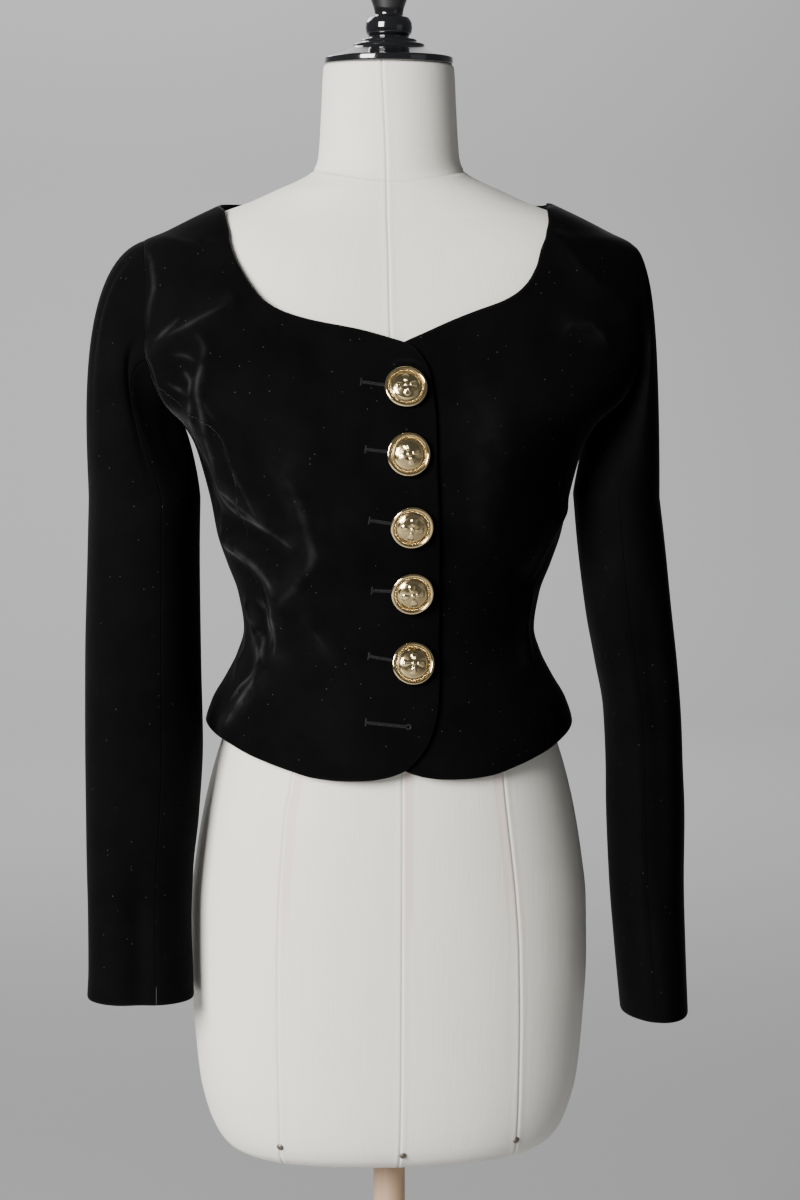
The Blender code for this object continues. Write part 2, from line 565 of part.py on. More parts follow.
def back_panel():
    """The back in one piece, from one side seam round to the other."""

    def upward(side, neck_point):
        """The edge from the hem over seam, armhole and shoulder to the neck point."""
        seam = seam_line(BACK_SEAM, BACK_NOTCH, side, side)
        shoulder = shoulder_line(neck_point, side, side)
        hole = armhole(np.arange(BACK_NOTCH, 361, ARMHOLE_STEP), side)
        whole = np.concatenate([seam, hole[1:-1], shoulder])
        return whole + ((2 * math.pi, 0) if side < 0 else (0, 0))

    left, right = upward(1, NECK_POINT_LEFT), upward(-1, NECK_POINT_RIGHT)
    neck = np.concatenate([left[-1:], in_turns(BACK_NECKLINE, 1), right[-1:]])
    neck = rounded_path(neck, BACK_NECK_COLUMNS + 1)
    right_hem = in_turns(BACK_HEM[-2::-1], -1) + (2 * math.pi, 0)
    hem = rounded_path(np.concatenate([in_turns(BACK_HEM, 1), right_hem]), 2 * HEM_COLUMNS + 1)
    hem[0], hem[-1] = left[0], right[0]
    return panel("back", joined(hem, right, neck[::-1], left[::-1]), BACK_STEP)


def sleeve_ring(table, turn_round, height, side):
    """A point of the hanging sleeve: 0 is its outer side, 90 its front, 180 next to the body."""
    heights = [row.height for row in table[::-1]]
    names = ("x", "y", "half_x", "half_y", "squareness")
    x, y, half_x, half_y, square = (
        smooth(height, heights, [getattr(row, name) for row in table[::-1]]) for name in names
    )
    out, ahead = np.cos(turn_round), np.sin(turn_round)
    size = (np.abs(out) ** square + np.abs(ahead) ** square) ** (-1 / square)
    return np.stack([side * (x + half_x * out * size), y - half_y * ahead * size, height + 0 * size], -1)


def sleeve_rise(folds, turn_round, height):
    """How far the sleeve's long soft folds stand out at a turn and height."""
    rise = 0
    for fold in folds:
        off = (np.degrees(turn_round) - fold.turn + 180) % 360 - 180
        middle, half = (fold.top + fold.bottom) / 2, (fold.top - fold.bottom) / 2
        along = np.exp(-(((height - middle) / half) ** 4))
        rise = rise + fold.rise * np.exp(-((off / fold.width) ** 2)) * along
    return rise


def sleeve_start(turn_round, side, spring):
    """Where the sleeve leaves the armhole, and which way it goes, at each turn round it."""
    degrees = np.degrees(turn_round)
    here = armhole(degrees, side)
    step = 0.5
    behind, beyond = armhole(degrees - step, side), armhole(degrees + step, side)
    point = jacket_point(here[..., 0], here[..., 1])
    along = jacket_point(beyond[..., 0], beyond[..., 1]) - jacket_point(behind[..., 0], behind[..., 1])
    out = way_out(jacket_point, here[..., 0], here[..., 1])
    away = -side * np.cross(along, out)
    away /= np.linalg.norm(away, axis=-1, keepdims=True)
    share = ((1 - np.cos(turn_round)) / 2)[..., None]
    head = math.cos(math.radians(spring)) * away + math.sin(math.radians(spring)) * out
    lean = side * (UNDERARM_LEAN + LEAN_EASES * (1 - share))
    leaves = (1 - share) * head + share * (lean * (1, 0, 0) - np.array([0, 0, 1]))
    bend = np.arctan2((leaves * out).sum(-1), (leaves * away).sum(-1))[..., None]
    bend = np.clip(bend, 0, math.pi)
    leaves = np.cos(bend) * away + np.sin(bend) * out
    gap = np.cos(bend / 2) * away + np.sin(bend / 2) * out
    return point + gap * SEAM_GAP, leaves


def sleeve_point(table, folds, cap, side, turn_round, down):
    """A point of a sleeve: down runs 0 to 1 over the cap and 1 to 2 on to the cuff."""
    top, bottom = table[0].height, table[-1].height
    height = top + (bottom - top) * np.clip(down - 1, 0, 1)
    ring = sleeve_ring(table, turn_round, height, side)
    centre = np.array([side * table[0].x, table[0].y, 0])
    outwards = ring * (1, 1, 0) - centre * (1, 1, 0)
    outwards /= np.linalg.norm(outwards, axis=-1, keepdims=True)
    ring = ring + outwards * sleeve_rise(folds, turn_round, height)[..., None]
    start, leaves = sleeve_start(turn_round, side, cap.spring)
    span = np.linalg.norm(ring - start, axis=-1, keepdims=True)
    t = np.clip(down, 0, 1)[..., None]
    falls = np.array([0, 0, -1.0])
    over = (
        (1 + 2 * t) * (1 - t) ** 2 * start
        + t * (1 - t) ** 2 * leaves * span * cap.reach
        + t**2 * (3 - 2 * t) * ring
        + t**2 * (t - 1) * falls * span * CAP_FALL
    )
    return np.where(down[..., None] < 1, over, ring)


def sleeve_piece(name, table, folds, cap, side, first, last):
    """A cut piece of a sleeve between two turns round it, from the armhole to the cuff."""
    around = np.radians(np.arange(first, last + 1, ARMHOLE_STEP))
    inset = np.zeros(len(around))
    inset[[0, -1]] = math.radians(SLEEVE_SEAM_TURN), -math.radians(SLEEVE_SEAM_TURN)
    downs = np.concatenate([np.linspace(0, 1, CAP_ROWS + 1), 1 + np.linspace(0, 1, SLEEVE_ROWS + 1)[1:]])
    down, turn_round = np.meshgrid(downs, around, indexing="ij")

    def point_of(u, v):
        return sleeve_point(table, folds, cap, side, u, v)

    outer = point_of(turn_round + inset, down)
    safe = np.clip(down, PROBE, 2 - 2 * PROBE)
    out = side * way_out(point_of, turn_round, safe)
    return grid_wall(name, outer, outer - out * WALL, VELVET)


def turned(name, profile, sides, finish, centre=(0, 0, 0), axis=(0, 0, 1)):
    """A turned solid from its profile, standing on centre and rising along axis."""
    axis = np.asarray(axis, float) / np.linalg.norm(axis)
    helper = np.array([0, 0, 1.0]) if abs(axis[2]) < 0.9 else np.array([1.0, 0, 0])
    across = np.cross(helper, axis)
    across /= np.linalg.norm(across)
    other = np.cross(axis, across)
    ring = np.linspace(0, 2 * math.pi, sides, endpoint=False)
    spokes = np.cos(ring)[:, None] * across + np.sin(ring)[:, None] * other
    points = [np.asarray(centre) + profile[0][1] * axis]
    for radius, height in profile[1:-1]:
        points.extend(np.asarray(centre) + height * axis + radius * spokes)
    points.append(np.asarray(centre) + profile[-1][1] * axis)
    faces = []
    last = len(points) - 1
    for i in range(sides):
        j = (i + 1) % sides
        faces.append((0, 1 + j, 1 + i))
        for k in range(len(profile) - 3):
            low, high = 1 + k * sides, 1 + (k + 1) * sides
            faces.append((low + i, low + j, high + j, high + i))
        faces.append((last, last - sides + i, last - sides + j))
    return mesh_object(name, points, faces, finish)


def dress_form():
    """The canvas form: one ring of points for each row of its table, capped at both ends."""
    turns = np.linspace(-math.pi, math.pi, FORM_SIDES, endpoint=False)
    rings = [body_point(FORM, turns, np.full(FORM_SIDES, row.height)) for row in FORM]
    index = np.arange(len(FORM) * FORM_SIDES).reshape(len(FORM), FORM_SIDES)
    faces = [tuple(index[0][::-1]), tuple(index[-1])]
    for low, high in zip(index[:-1], index[1:]):
        for i in range(FORM_SIDES):
            j = (i + 1) % FORM_SIDES
            faces.append((low[i], low[j], high[j], high[i]))
    return mesh_object("form", np.concatenate(rings), faces, CANVAS)


def seated(point_of, turn, height, radius):
    """Centre and axis for a small flat-backed piece that just clears the surface under it."""
    turn, height = np.array([turn]), np.array([height])
    centre, axis = point_of(turn, height)[0], way_out(point_of, turn, height)[0]
    round_it = np.linspace(0, 2 * math.pi, 24, endpoint=False)
    reach = np.linalg.norm(centre[:2])
    highest = 0.0
    for share in (0.5, 1.0):
        across, up = share * radius / reach * np.cos(round_it), share * radius * np.sin(round_it)
        near = point_of(turn + across, height + up)
        highest = max(highest, float(((near - centre) @ axis).max()))
    return centre + axis * (highest + SEAT_GAP), axis


def lapped_point(turn, height):
    """The outer skin of the lapping front, which the buttons rest on."""
    point = jacket_point(turn, height)
    return point + way_out(jacket_point, turn, height) * lap_lift(point[..., 0])[..., None]


def buttons():
    for number, (x, height) in enumerate(BUTTONS, 1):
        centre, axis = seated(lapped_point, turn_at(JACKET, x, height), height, BUTTON_RADIUS)
        turned(f"button_{number}", BUTTON_PROFILE, BUTTON_SIDES, GILT, centre, axis)


def form_point(turn, height):
    return body_point(FORM, turn, height)


def stand():
    """Pole, base and turned neck cap, and the studs at the form's lower edge."""
    base_top, form_bottom = BASE_PROFILE[-1][1], FORM[0].height
    length = form_bottom - base_top - 2 * SEAT_GAP
    pole = ((0, 0), (POLE_RADIUS, 0), (POLE_RADIUS, length), (0, length))
    turned("base", BASE_PROFILE, TURNED_SIDES, LACQUER)
    turned("pole", pole, 24, WOOD, (0, 0, base_top + SEAT_GAP))
    turned("neck_cap", CAP_PROFILE, CAP_SIDES, LACQUER, (0, 0, NECK_TOP + SEAT_GAP))
    for number, (x, height) in enumerate(NAILS, 1):
        centre, axis = seated(form_point, turn_at(FORM, x, height), height, NAIL_PROFILE[1][0])
        turned(f"stud_{number}", NAIL_PROFILE, 10, STEEL, centre, axis)


def sleeves():
    for word, *shape in (
        ("right", SLEEVE_RIGHT, SLEEVE_FOLDS_RIGHT, CAP_RIGHT, -1),
        ("left", SLEEVE_LEFT, SLEEVE_FOLDS_LEFT, CAP_LEFT, 1),
    ):
        sleeve_piece(f"top_sleeve_{word}", *shape, BACK_SLEEVE_SEAM - 360, FRONT_SLEEVE_SEAM)
        sleeve_piece(f"under_sleeve_{word}", *shape, FRONT_SLEEVE_SEAM, BACK_SLEEVE_SEAM)


def main():
    for old in list(bpy.data.objects):
        bpy.data.objects.remove(old, do_unlink=True)
    dress_form()
    stand()
    front_panel("front_right", -1, NECK_POINT_RIGHT, NECKLINE_RIGHT, lap_lift)
    front_panel("front_left", 1, NECK_POINT_LEFT, NECKLINE_LEFT)
    side_panel("side_right", -1)
    side_panel("side_left", 1)
    back_panel()
    sleeves()
    buttons()


main()
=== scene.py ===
# %% [markdown]
# # A velvet blazer on its dress form
#
# The real thing is a short black velvet jacket, cut in panels and buttoned over a padded
# canvas form on a pole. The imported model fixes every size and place, and this notebook
# dresses it: each rigid shell gives way to a finer one on the same surface, with its
# creases, sewn edges and finish. Each step says what the piece is, how it is made, and why.

import math
from collections import namedtuple

import bmesh
import bpy
import numpy as np
from mathutils import Matrix, Vector
from mathutils.geometry import delaunay_2d_cdt
from mathutils.kdtree import KDTree
from numpy.linalg import norm


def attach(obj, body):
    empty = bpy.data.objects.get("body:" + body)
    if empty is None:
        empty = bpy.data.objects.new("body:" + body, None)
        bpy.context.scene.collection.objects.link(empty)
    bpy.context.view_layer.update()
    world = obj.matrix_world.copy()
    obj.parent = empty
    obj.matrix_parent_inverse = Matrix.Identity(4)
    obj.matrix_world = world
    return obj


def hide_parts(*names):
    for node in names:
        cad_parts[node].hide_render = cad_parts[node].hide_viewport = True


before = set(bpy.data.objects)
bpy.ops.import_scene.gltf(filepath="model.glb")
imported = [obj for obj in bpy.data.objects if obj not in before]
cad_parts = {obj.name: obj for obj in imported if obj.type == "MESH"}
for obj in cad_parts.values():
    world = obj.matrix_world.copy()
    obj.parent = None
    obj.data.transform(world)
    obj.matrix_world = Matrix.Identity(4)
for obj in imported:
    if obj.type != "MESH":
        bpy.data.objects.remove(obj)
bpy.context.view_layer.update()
print("nodes in the packed model:", sorted(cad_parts))

# %% [markdown]
# ## Camera
#
# A long lens a little above the chest, slightly from the wearer's right. The long side of
# the frame takes the 36 mm sensor, and the narrow angle keeps pole and sleeves straight.

# %% Camera
def new_object(name, data):
    """An object with this data, linked into the scene."""
    made = bpy.data.objects.new(name, data)
    bpy.context.scene.collection.objects.link(made)
    return made


camera = new_object("portrait_camera", bpy.data.cameras.new("portrait_camera"))
camera.data.lens, camera.data.sensor_width = 96.82, 36.0
camera.location = (-0.2965, -2.6837, 1.2866)
camera.rotation_euler = (math.radians(90 - 5.155), 0.0, math.radians(-6.5))
bpy.context.scene.camera = camera

# %% [markdown]
# ## Small helpers for shader nodes
#
# A material is a graph. One function adds a node with its settings and wires its sockets,
# and a small class keeps a material's graph together, so that every finish below reads as
# a short list of steps.


# %% Helpers that build a material
def wired(tree, kind, inputs=(), **settings):
    """A node of this kind with its settings and the values or links of its sockets."""
    node = tree.nodes.new(kind)
    for name, value in settings.items():
        setattr(node, name, value)
    for socket, value in dict(inputs).items():
        if isinstance(value, bpy.types.NodeSocket):
            tree.links.new(value, node.inputs[socket])
        else:
            node.inputs[socket].default_value = value
    return node


class Finish:
    """A material with values on its main shader, and short ways to add to its graph."""

    def __init__(self, name, colour, roughness, **settings):
        self.material = bpy.data.materials.new(name)
        self.material.use_nodes = True
        self.tree = self.material.node_tree
        self.shader = self.tree.nodes["Principled BSDF"]
        for socket, value in {"Base Color": (*colour, 1.0), "Roughness": roughness, **settings}.items():
            self.shader.inputs[socket.replace("_", " ")].default_value = value
        self.spot = self.add("TexCoord").outputs["Object"]

    def add(self, kind, inputs=(), **settings):
        return wired(self.tree, "ShaderNode" + kind, inputs, **settings)

    def link(self, socket, value):
        self.tree.links.new(value, self.shader.inputs[socket])

    def mix(self, share, first, second):
        """A colour between two others, by a share from 0 to 1."""
        pair = [end if isinstance(end, bpy.types.NodeSocket) else (*end, 1.0) for end in (first, second)]
        return self.add("Mix", {0: share, 6: pair[0], 7: pair[1]}, data_type="RGBA").outputs[2]

    def count(self, operation, a, b, clamp=False):
        return self.add("Math", {0: a, 1: b}, operation=operation, use_clamp=clamp).outputs[0]

    def times(self, a, b, clamp=False):
        return self.count("MULTIPLY", a, b, clamp)

    def noise(self, scale, detail=2.0, roughness=0.5, where=None):
        """Noise between 0 and 1 at a place, by default the point itself."""
        inputs = {"Vector": where or self.spot, "Scale": scale, "Detail": detail, "Roughness": roughness}
        return self.add("TexNoise", inputs).outputs["Fac"]

    def stretched(self, where, scale):
        return self.add("Mapping", {"Vector": where, "Scale": scale}).outputs["Vector"]

    def painted(self, word):
        """What an attribute of the mesh says at the point."""
        return self.add("Attribute", attribute_name=word).outputs["Fac"]

    def bump(self, height, distance, strength=1.0):
        """Raises the surface's look by a height, and stacks on any bump already there."""
        inputs = {"Height": height, "Distance": distance, "Strength": strength}
        for link in self.shader.inputs["Normal"].links:
            inputs["Normal"] = link.from_socket
        self.link("Normal", self.add("Bump", inputs).outputs["Normal"])


# %% [markdown]
# ## Floor and light
#
# One sheet of paper runs over the floor and curves up behind, so no line cuts the picture.
# A large soft source on the viewer's left draws the form's round side, a weak one on the
# right opens the shadows, and one from behind puts a fine rim on the velvet. The last one
# faces away from the jacket and lights only the paper, which stands well back.


# %% Floor sweep
BEND_START, BEND_RADIUS, BEND_STEPS, PAPER_FRONT, PAPER_TOP, PAPER_HALF = 7.2, 1.8, 24, -8.0, 8.0, 10.0


def paper_sweep():
    """The pale floor and the wall that it curves into, as one strip."""
    profile = [(PAPER_FRONT, 0.0), (BEND_START, 0.0)]
    for step in range(1, BEND_STEPS + 1):
        angle = math.radians(90 * step / BEND_STEPS)
        profile.append((BEND_START + BEND_RADIUS * math.sin(angle), BEND_RADIUS * (1 - math.cos(angle))))
    profile.append((BEND_START + BEND_RADIUS, PAPER_TOP))
    points = [(x, y, z) for y, z in profile for x in (-PAPER_HALF, PAPER_HALF)]
    faces = [(2 * i, 2 * i + 1, 2 * i + 3, 2 * i + 2) for i in range(len(profile) - 1)]
    mesh = bpy.data.meshes.new("paper_sweep")
    mesh.from_pydata(points, [], faces)
    mesh.shade_smooth()
    return new_object("paper_sweep", mesh)


paper = Finish("sweep_paper", (0.44, 0.44, 0.445), 0.9)
paper.bump(paper.noise(9, 4), 0.002, 0.3)
sweep = paper_sweep()
sweep.data.materials.append(paper.material)


# %% Lights
def soft_light(name, place, target, size, power, colour=(1.0, 1.0, 1.0)):
    """A square area light that faces a point."""
    light = new_object(name, bpy.data.lights.new(name, "AREA"))
    light.data.size, light.data.energy, light.data.color = size, power, colour
    light.location = place
    light.rotation_euler = (Vector(target) - Vector(place)).to_track_quat("-Z", "Y").to_euler()


soft_light("key_left", (-2.30, -2.3, 2.1), (0.0, 0.0, 1.1), 1.5, 290.0, (1.0, 0.99, 0.97))
soft_light("fill_right", (2.3, -2.1, 1.5), (0.0, 0.0, 1.05), 1.6, 2.0, (0.95, 0.97, 1.0))
soft_light("rim_behind", (-0.9, 1.5, 2.5), (0.0, 0.0, 1.2), 1.0, 16.0)
soft_light("paper_wash", (0.0, 5.0, 5.5), (0.0, 9.0, 1.5), 3.0, 420.0)
world = bpy.data.worlds.new("studio")
world.use_nodes = True
sky = world.node_tree.nodes["Background"].inputs
sky["Color"].default_value, sky["Strength"].default_value = (0.55, 0.57, 0.60, 1.0), 0.20
bpy.context.scene.world = world

# %% [markdown]
# ## Velvet
#
# Velvet is a cut pile: upright fibres that swallow light seen end on and glint seen from
# the side or pressed over. The shader's sheen makes the glint and a fine bump stands for
# the pile. An attribute painted along the creases and free edges paints a highlight into
# the colour: paler grey streaks that stand for sheen on the creases and for crushed pile.

# %% Velvet
velvet = Finish(
    "black_velvet", (0.004, 0.004, 0.005), 0.95,
    Specular_IOR_Level=0.03, Sheen_Weight=0.12, Sheen_Roughness=0.28, Sheen_Tint=(0.50, 0.50, 0.54, 1.0),
)
brushed = velvet.noise(22, 4, 0.6)
# Painted highlight: the attribute painted along creases and free edges, broken up by two noises, pales the
# pile colour towards grey, for sheen on the creases and crushed pile.
broken = velvet.count("ADD", velvet.times(velvet.noise(700, 3, 0.6), 1.2), 0.4, clamp=True)
patchy = velvet.count("SUBTRACT", velvet.times(velvet.noise(48), 2.6), 0.75, clamp=True)
highlight_share = velvet.times(velvet.times(velvet.painted("pressed"), broken), patchy)
pile = velvet.mix(brushed, (0.0008, 0.0008, 0.0010), (0.0036, 0.0035, 0.0038))
pile = velvet.mix(highlight_share, pile, (0.050, 0.0485, 0.049))
lint = velvet.add("TexVoronoi", {"Vector": velvet.spot, "Scale": 260.0}, feature="F1")
chosen = velvet.add("SeparateColor", {0: lint.outputs["Color"]}).outputs[0]
speck = velvet.times(
    velvet.count("LESS_THAN", lint.outputs["Distance"], 0.10), velvet.count("GREATER_THAN", chosen, 0.89)
)
velvet.link("Base Color", velvet.mix(velvet.times(speck, 0.5), pile, (0.11, 0.105, 0.10)))
velvet.bump(velvet.noise(1400), 0.0005, 0.3)
velvet.bump(velvet.noise(60, 4, 0.55), 0.0012, 0.25)
velvet.bump(brushed, 0.004, 0.2)

# %% [markdown]
# ## Thread, canvas, lacquer, wood and metals
#
# Buttonhole twist is a glossy black thread. The canvas is a plain weave, two crossed sets
# of yarn on a UV map laid flat in metres, with slubs and a pale pink tape beside some
# seams. The gilt is polished on what stands out and brown with age in what lies deep.

# %% Thread
thread = Finish("buttonhole_twist", (0.006, 0.006, 0.007), 0.42, Sheen_Weight=0.1, Specular_IOR_Level=0.25)
thread.bump(thread.noise(2600), 0.0002, 0.5)

# %% Canvas
canvas = Finish(
    "form_canvas", (0.74, 0.71, 0.65), 0.85, Sheen_Weight=0.15, Sheen_Roughness=0.6, Specular_IOR_Level=0.3
)
laid_flat = canvas.add("UVMap", uv_map="flat").outputs["UV"]
yarn = {"Vector": laid_flat, "Scale": 330.0, "Distortion": 1.5, "Detail": 1.0}
warp, weft = (canvas.add("TexWave", yarn, bands_direction=axis).outputs["Fac"] for axis in "XY")
slubs = canvas.noise(1, 3, where=canvas.stretched(laid_flat, (420.0, 14.0, 1.0)))
cloth = canvas.mix(slubs, (0.85, 0.815, 0.735), (0.94, 0.905, 0.835))
for share, amount, tint in (
    (canvas.noise(7, 4), 0.35, (0.66, 0.625, 0.545)),
    (canvas.painted("tape"), 0.7, (0.80, 0.66, 0.60)),
    (canvas.painted("sewn"), 0.35, (0.52, 0.48, 0.42)),
):
    cloth = canvas.mix(canvas.times(share, amount), cloth, tint)
canvas.link("Base Color", cloth)
canvas.bump(canvas.times(warp, weft), 0.00025, 0.5)
canvas.bump(slubs, 0.0004, 0.4)

# %% Lacquer
lacquer = Finish(
    "black_lacquer", (0.006, 0.006, 0.007), 0.12, Coat_Weight=1.0, Coat_Roughness=0.04, Specular_IOR_Level=0.6
)
lacquer.link("Roughness", lacquer.count("ADD", lacquer.times(lacquer.noise(240, 5, 0.7), 0.12), 0.05))
lacquer.bump(lacquer.noise(40), 0.0004, 0.1)

# %% Wood
wood = Finish("pale_wood", (0.56, 0.37, 0.24), 0.42, Coat_Weight=0.3, Coat_Roughness=0.25)
grain = wood.noise(1, 5, 0.6, where=wood.stretched(wood.spot, (190.0, 190.0, 5.0)))
wood.link("Base Color", wood.mix(grain, (0.63, 0.44, 0.30), (0.44, 0.27, 0.16)))
wood.bump(grain, 0.0003, 0.4)

# %% Gilt
gilt = Finish("pale_gilt", (0.82, 0.63, 0.34), 0.16, Metallic=1.0)
specks = gilt.noise(900, 4, 0.7)
aged = gilt.times(gilt.painted("deep"), gilt.count("ADD", specks, 0.45), clamp=True)
gilt.link("Base Color", gilt.mix(aged, (0.90, 0.71, 0.38), (0.11, 0.07, 0.028)))
gilt.link("Roughness", gilt.count("ADD", gilt.times(aged, 0.30), 0.075))
gilt.bump(specks, 0.0001, 0.25)

# %% Dull steel
steel = Finish("dull_steel", (0.22, 0.20, 0.17), 0.5, Metallic=1.0)
steel.link("Base Color", steel.mix(steel.noise(700, 4), (0.30, 0.28, 0.25), (0.13, 0.09, 0.06)))

# %% [markdown]
# ## The body that the jacket is cut to
#
# A tailor measures round the body at a few heights, and so do these tables: half the
# width, the depth in front and behind, and how square the oval is. A cubic that never
# overshoots reads them as one smooth skin, and each panel is a region of it, so panels
# always meet. Turns are angles round the pole, 0 at the centre front.

# %% Measurements of the jacket and of the form
Section = namedtuple("Section", "height half_width front back squareness")


def in_metres(kind, lengths, rows):
    """Rows of a kind whose first numbers, so many of them, are written in millimetres."""
    return [kind(*(number / 1000 for number in row[:lengths]), *row[lengths:]) for row in rows]


def pairs(*numbers):
    """Points in metres from their numbers in millimetres, two for each point."""
    return np.array(numbers).reshape(-1, 2) / 1000


JACKET = in_metres(Section, 4, (
    (895, 154.5, 118, 123.5, 2.2), (915, 154.5, 116.5, 121.5, 2.2), (940, 154.5, 114.5, 118, 2.2),
    (960, 149, 111, 111, 2.2), (980, 137.5, 106, 103, 2.2), (1000, 127.5, 101.5, 96, 2.1),
    (1020, 122, 99, 92.5, 2.1), (1050, 126.5, 102, 94.5, 2.1), (1075, 135.5, 108.5, 100, 2.2),
    (1100, 144, 116.5, 105.5, 2.2), (1130, 150, 124, 110.5, 2.3), (1160, 157.5, 127, 113, 2.4),
    (1175, 162.5, 126.2, 113.6, 2.5), (1190, 171.5, 124.5, 114, 2.6), (1210, 193, 118, 114, 2.8),
    (1235, 208.5, 107.5, 113, 3), (1260, 218, 98.5, 111, 3), (1290, 222.5, 90, 107.5, 2.9),
    (1320, 219, 81.5, 102, 2.7), (1334.5, 212, 76.5, 98, 2.6), (1342.5, 203.5, 74, 95.5, 2.5),
    (1350, 186, 71, 92.5, 2.4), (1361.5, 163, 66.5, 88, 2.3), (1372.8, 139, 61, 83, 2.2),
    (1385, 112, 57, 76, 2.2),
))
FORM = in_metres(Section, 4, (
    (574, 113, 64, 80, 2.2), (577.5, 125, 76, 93, 2.2), (585, 137.5, 86, 104, 2.2),
    (596, 146, 92, 110.5, 2.2), (612, 153, 96, 115, 2.2), (640, 160, 99.5, 119, 2.2),
    (690, 165, 102.5, 123, 2.2), (740, 167.8, 104.5, 125.5, 2.2), (790, 167.2, 106.2, 125.8, 2.2),
    (830, 162.8, 107.5, 123.5, 2.2), (870, 156, 108.5, 119, 2.2), (905, 147.5, 107.5, 113, 2.2),
    (945, 134.5, 103, 104.5, 2.2), (985, 122, 96, 93, 2.1), (1020, 115, 91.5, 86, 2.1),
    (1055, 120, 94.5, 88.5, 2.1), (1100, 135, 106, 98, 2.2), (1150, 145, 117, 106, 2.3),
    (1190, 154, 116.5, 108, 2.4), (1230, 166.5, 104, 107, 2.6), (1270, 177, 90.5, 104, 2.8),
    (1300, 181, 82.5, 100, 2.9), (1330, 183, 74.5, 93.5, 2.8), (1345, 180.5, 68.5, 87.5, 2.5),
    (1352, 176.5, 65.5, 84.5, 2.3), (1357, 166.4, 63.5, 81.5, 2.2), (1362, 153.2, 61.2, 78.7, 2.2),
    (1368, 133.5, 60, 76.5, 2.2), (1374, 116.5, 59, 73.5, 2.2), (1385, 92, 58, 68, 2.2),
    (1393, 74, 56, 61, 2.1), (1400, 63, 55, 56, 2), (1412, 58.5, 54.5, 53, 2), (1450, 56, 52.5, 51, 2),
    (1485.5, 54, 51, 50, 2), (1487.6, 52.5, 49.5, 48.5, 2),
))


# %% Reading the measurements
def smooth(where, knots, values):
    """Reads a table between its rows with a cubic that never overshoots a row."""
    knots, values = np.asarray(knots, float), np.asarray(values, float)
    step = np.diff(knots)
    slope = np.diff(values) / step
    tangent = np.concatenate([slope[:1], np.zeros(len(slope) - 1), slope[-1:]])
    rising = slope[:-1] * slope[1:] > 0
    before, after = slope[:-1][rising], slope[1:][rising]
    tangent[1:-1][rising] = 2 * before * after / (before + after)
    where = np.clip(where, knots[0], knots[-1])
    cell = np.clip(np.searchsorted(knots, where, side="right") - 1, 0, len(step) - 1)
    t = (where - knots[cell]) / step[cell]
    start = (1 + 2 * t) * (1 - t) ** 2 * values[cell] + t * (1 - t) ** 2 * step[cell] * tangent[cell]
    end = t**2 * (3 - 2 * t) * values[cell + 1] + t**2 * (t - 1) * step[cell] * tangent[cell + 1]
    return start + end


def section(table, height):
    """What a table says at a height, one array for each of its other columns."""
    heights, *columns = np.array(table).T
    return [smooth(height, heights, column) for column in columns]


def body_point(table, turn, height):
    """A point of a body: a superellipse at each height, deeper or flatter in front."""
    half_width, front, back, square = section(table, height)
    side, ahead = np.sin(turn), np.cos(turn)
    depth = np.where(ahead > 0, front, back)
    radius = (np.abs(side / half_width) ** square + np.abs(ahead / depth) ** square) ** (-1 / square)
    return np.stack([radius * side, -radius * ahead, height + 0 * radius], -1)


def turn_at(table, x, height, face="front"):
    """The turn at which the surface has this x on the given face."""
    half_width, front, back, square = section(table, height)
    depth = front if face == "front" else -back
    share = np.clip(np.abs(x) / half_width, 0, 1)
    return np.arctan2(x, depth * (1 - share**square) ** (1 / square))


def bell(off, width):
    """1 on a line, falling to nothing beside it."""
    return np.exp(-((off / width) ** 2))


def unit(vectors):
    """The same directions with length one."""
    return vectors / norm(vectors, axis=-1, keepdims=True)


def way_out(point_of, u, v, probe=1.0e-4):
    """The unit normal of a surface that is given as a function of two numbers."""
    along_u = point_of(u + probe, v) - point_of(u - probe, v)
    along_v = point_of(u, v + probe) - point_of(u, v - probe)
    return unit(np.cross(along_u, along_v))


def rounded_path(points, count):
    """A smooth curve through the points, as count points evenly spaced along it."""
    points = np.asarray(points, float)
    length = np.concatenate([[0], np.cumsum(norm(np.diff(points, axis=0), axis=1))])
    even = np.linspace(0, length[-1], count)
    return np.stack([smooth(even, length, column) for column in points.T], -1)


def nearest_on_path(points, path, used=None):
    """How far each point is from a polyline, and where along it its nearest point lies."""
    nearest, along = np.full(points.shape[:-1], np.inf), np.full(points.shape[:-1], 0.5)
    if len(path) == 1:
        return norm(points - path[0], axis=-1), along
    for number in range(len(path) - 1):
        if used is None or used[number]:
            start, run = path[number], path[number + 1] - path[number]
            share = np.clip((points - start) @ run / (run @ run), 0, 1)
            off = norm(points - start - share[..., None] * run, axis=-1)
            along = np.where(off < nearest, (number + share) / (len(path) - 1), along)
            nearest = np.minimum(nearest, off)
    return nearest, along


# %% [markdown]
# ## Folds and creases
#
# Worn velvet keeps broad soft folds round the bust and armholes, and sharp creases that
# fan out where it is pulled, here at the wearer's right armhole and waist. Each is one
# row, and moving the surface's own points lets light find them from every side. The
# press of each row paints a highlight into the velvet's colour along it, for sheen and
# crushed pile, strongest on the wearer's right where the light falls.

# %% Tables of folds and creases
Fold = namedtuple("Fold", "rise width press face path")


def marks(**faces):
    """Folds from rows of rise, half width, painted highlight and the path's numbers, in millimetres."""
    return [
        Fold(row[0] / 1000, row[1] / 1000, row[2], face, pairs(*row[3:]))
        for face, rows in faces.items() for row in rows
    ]


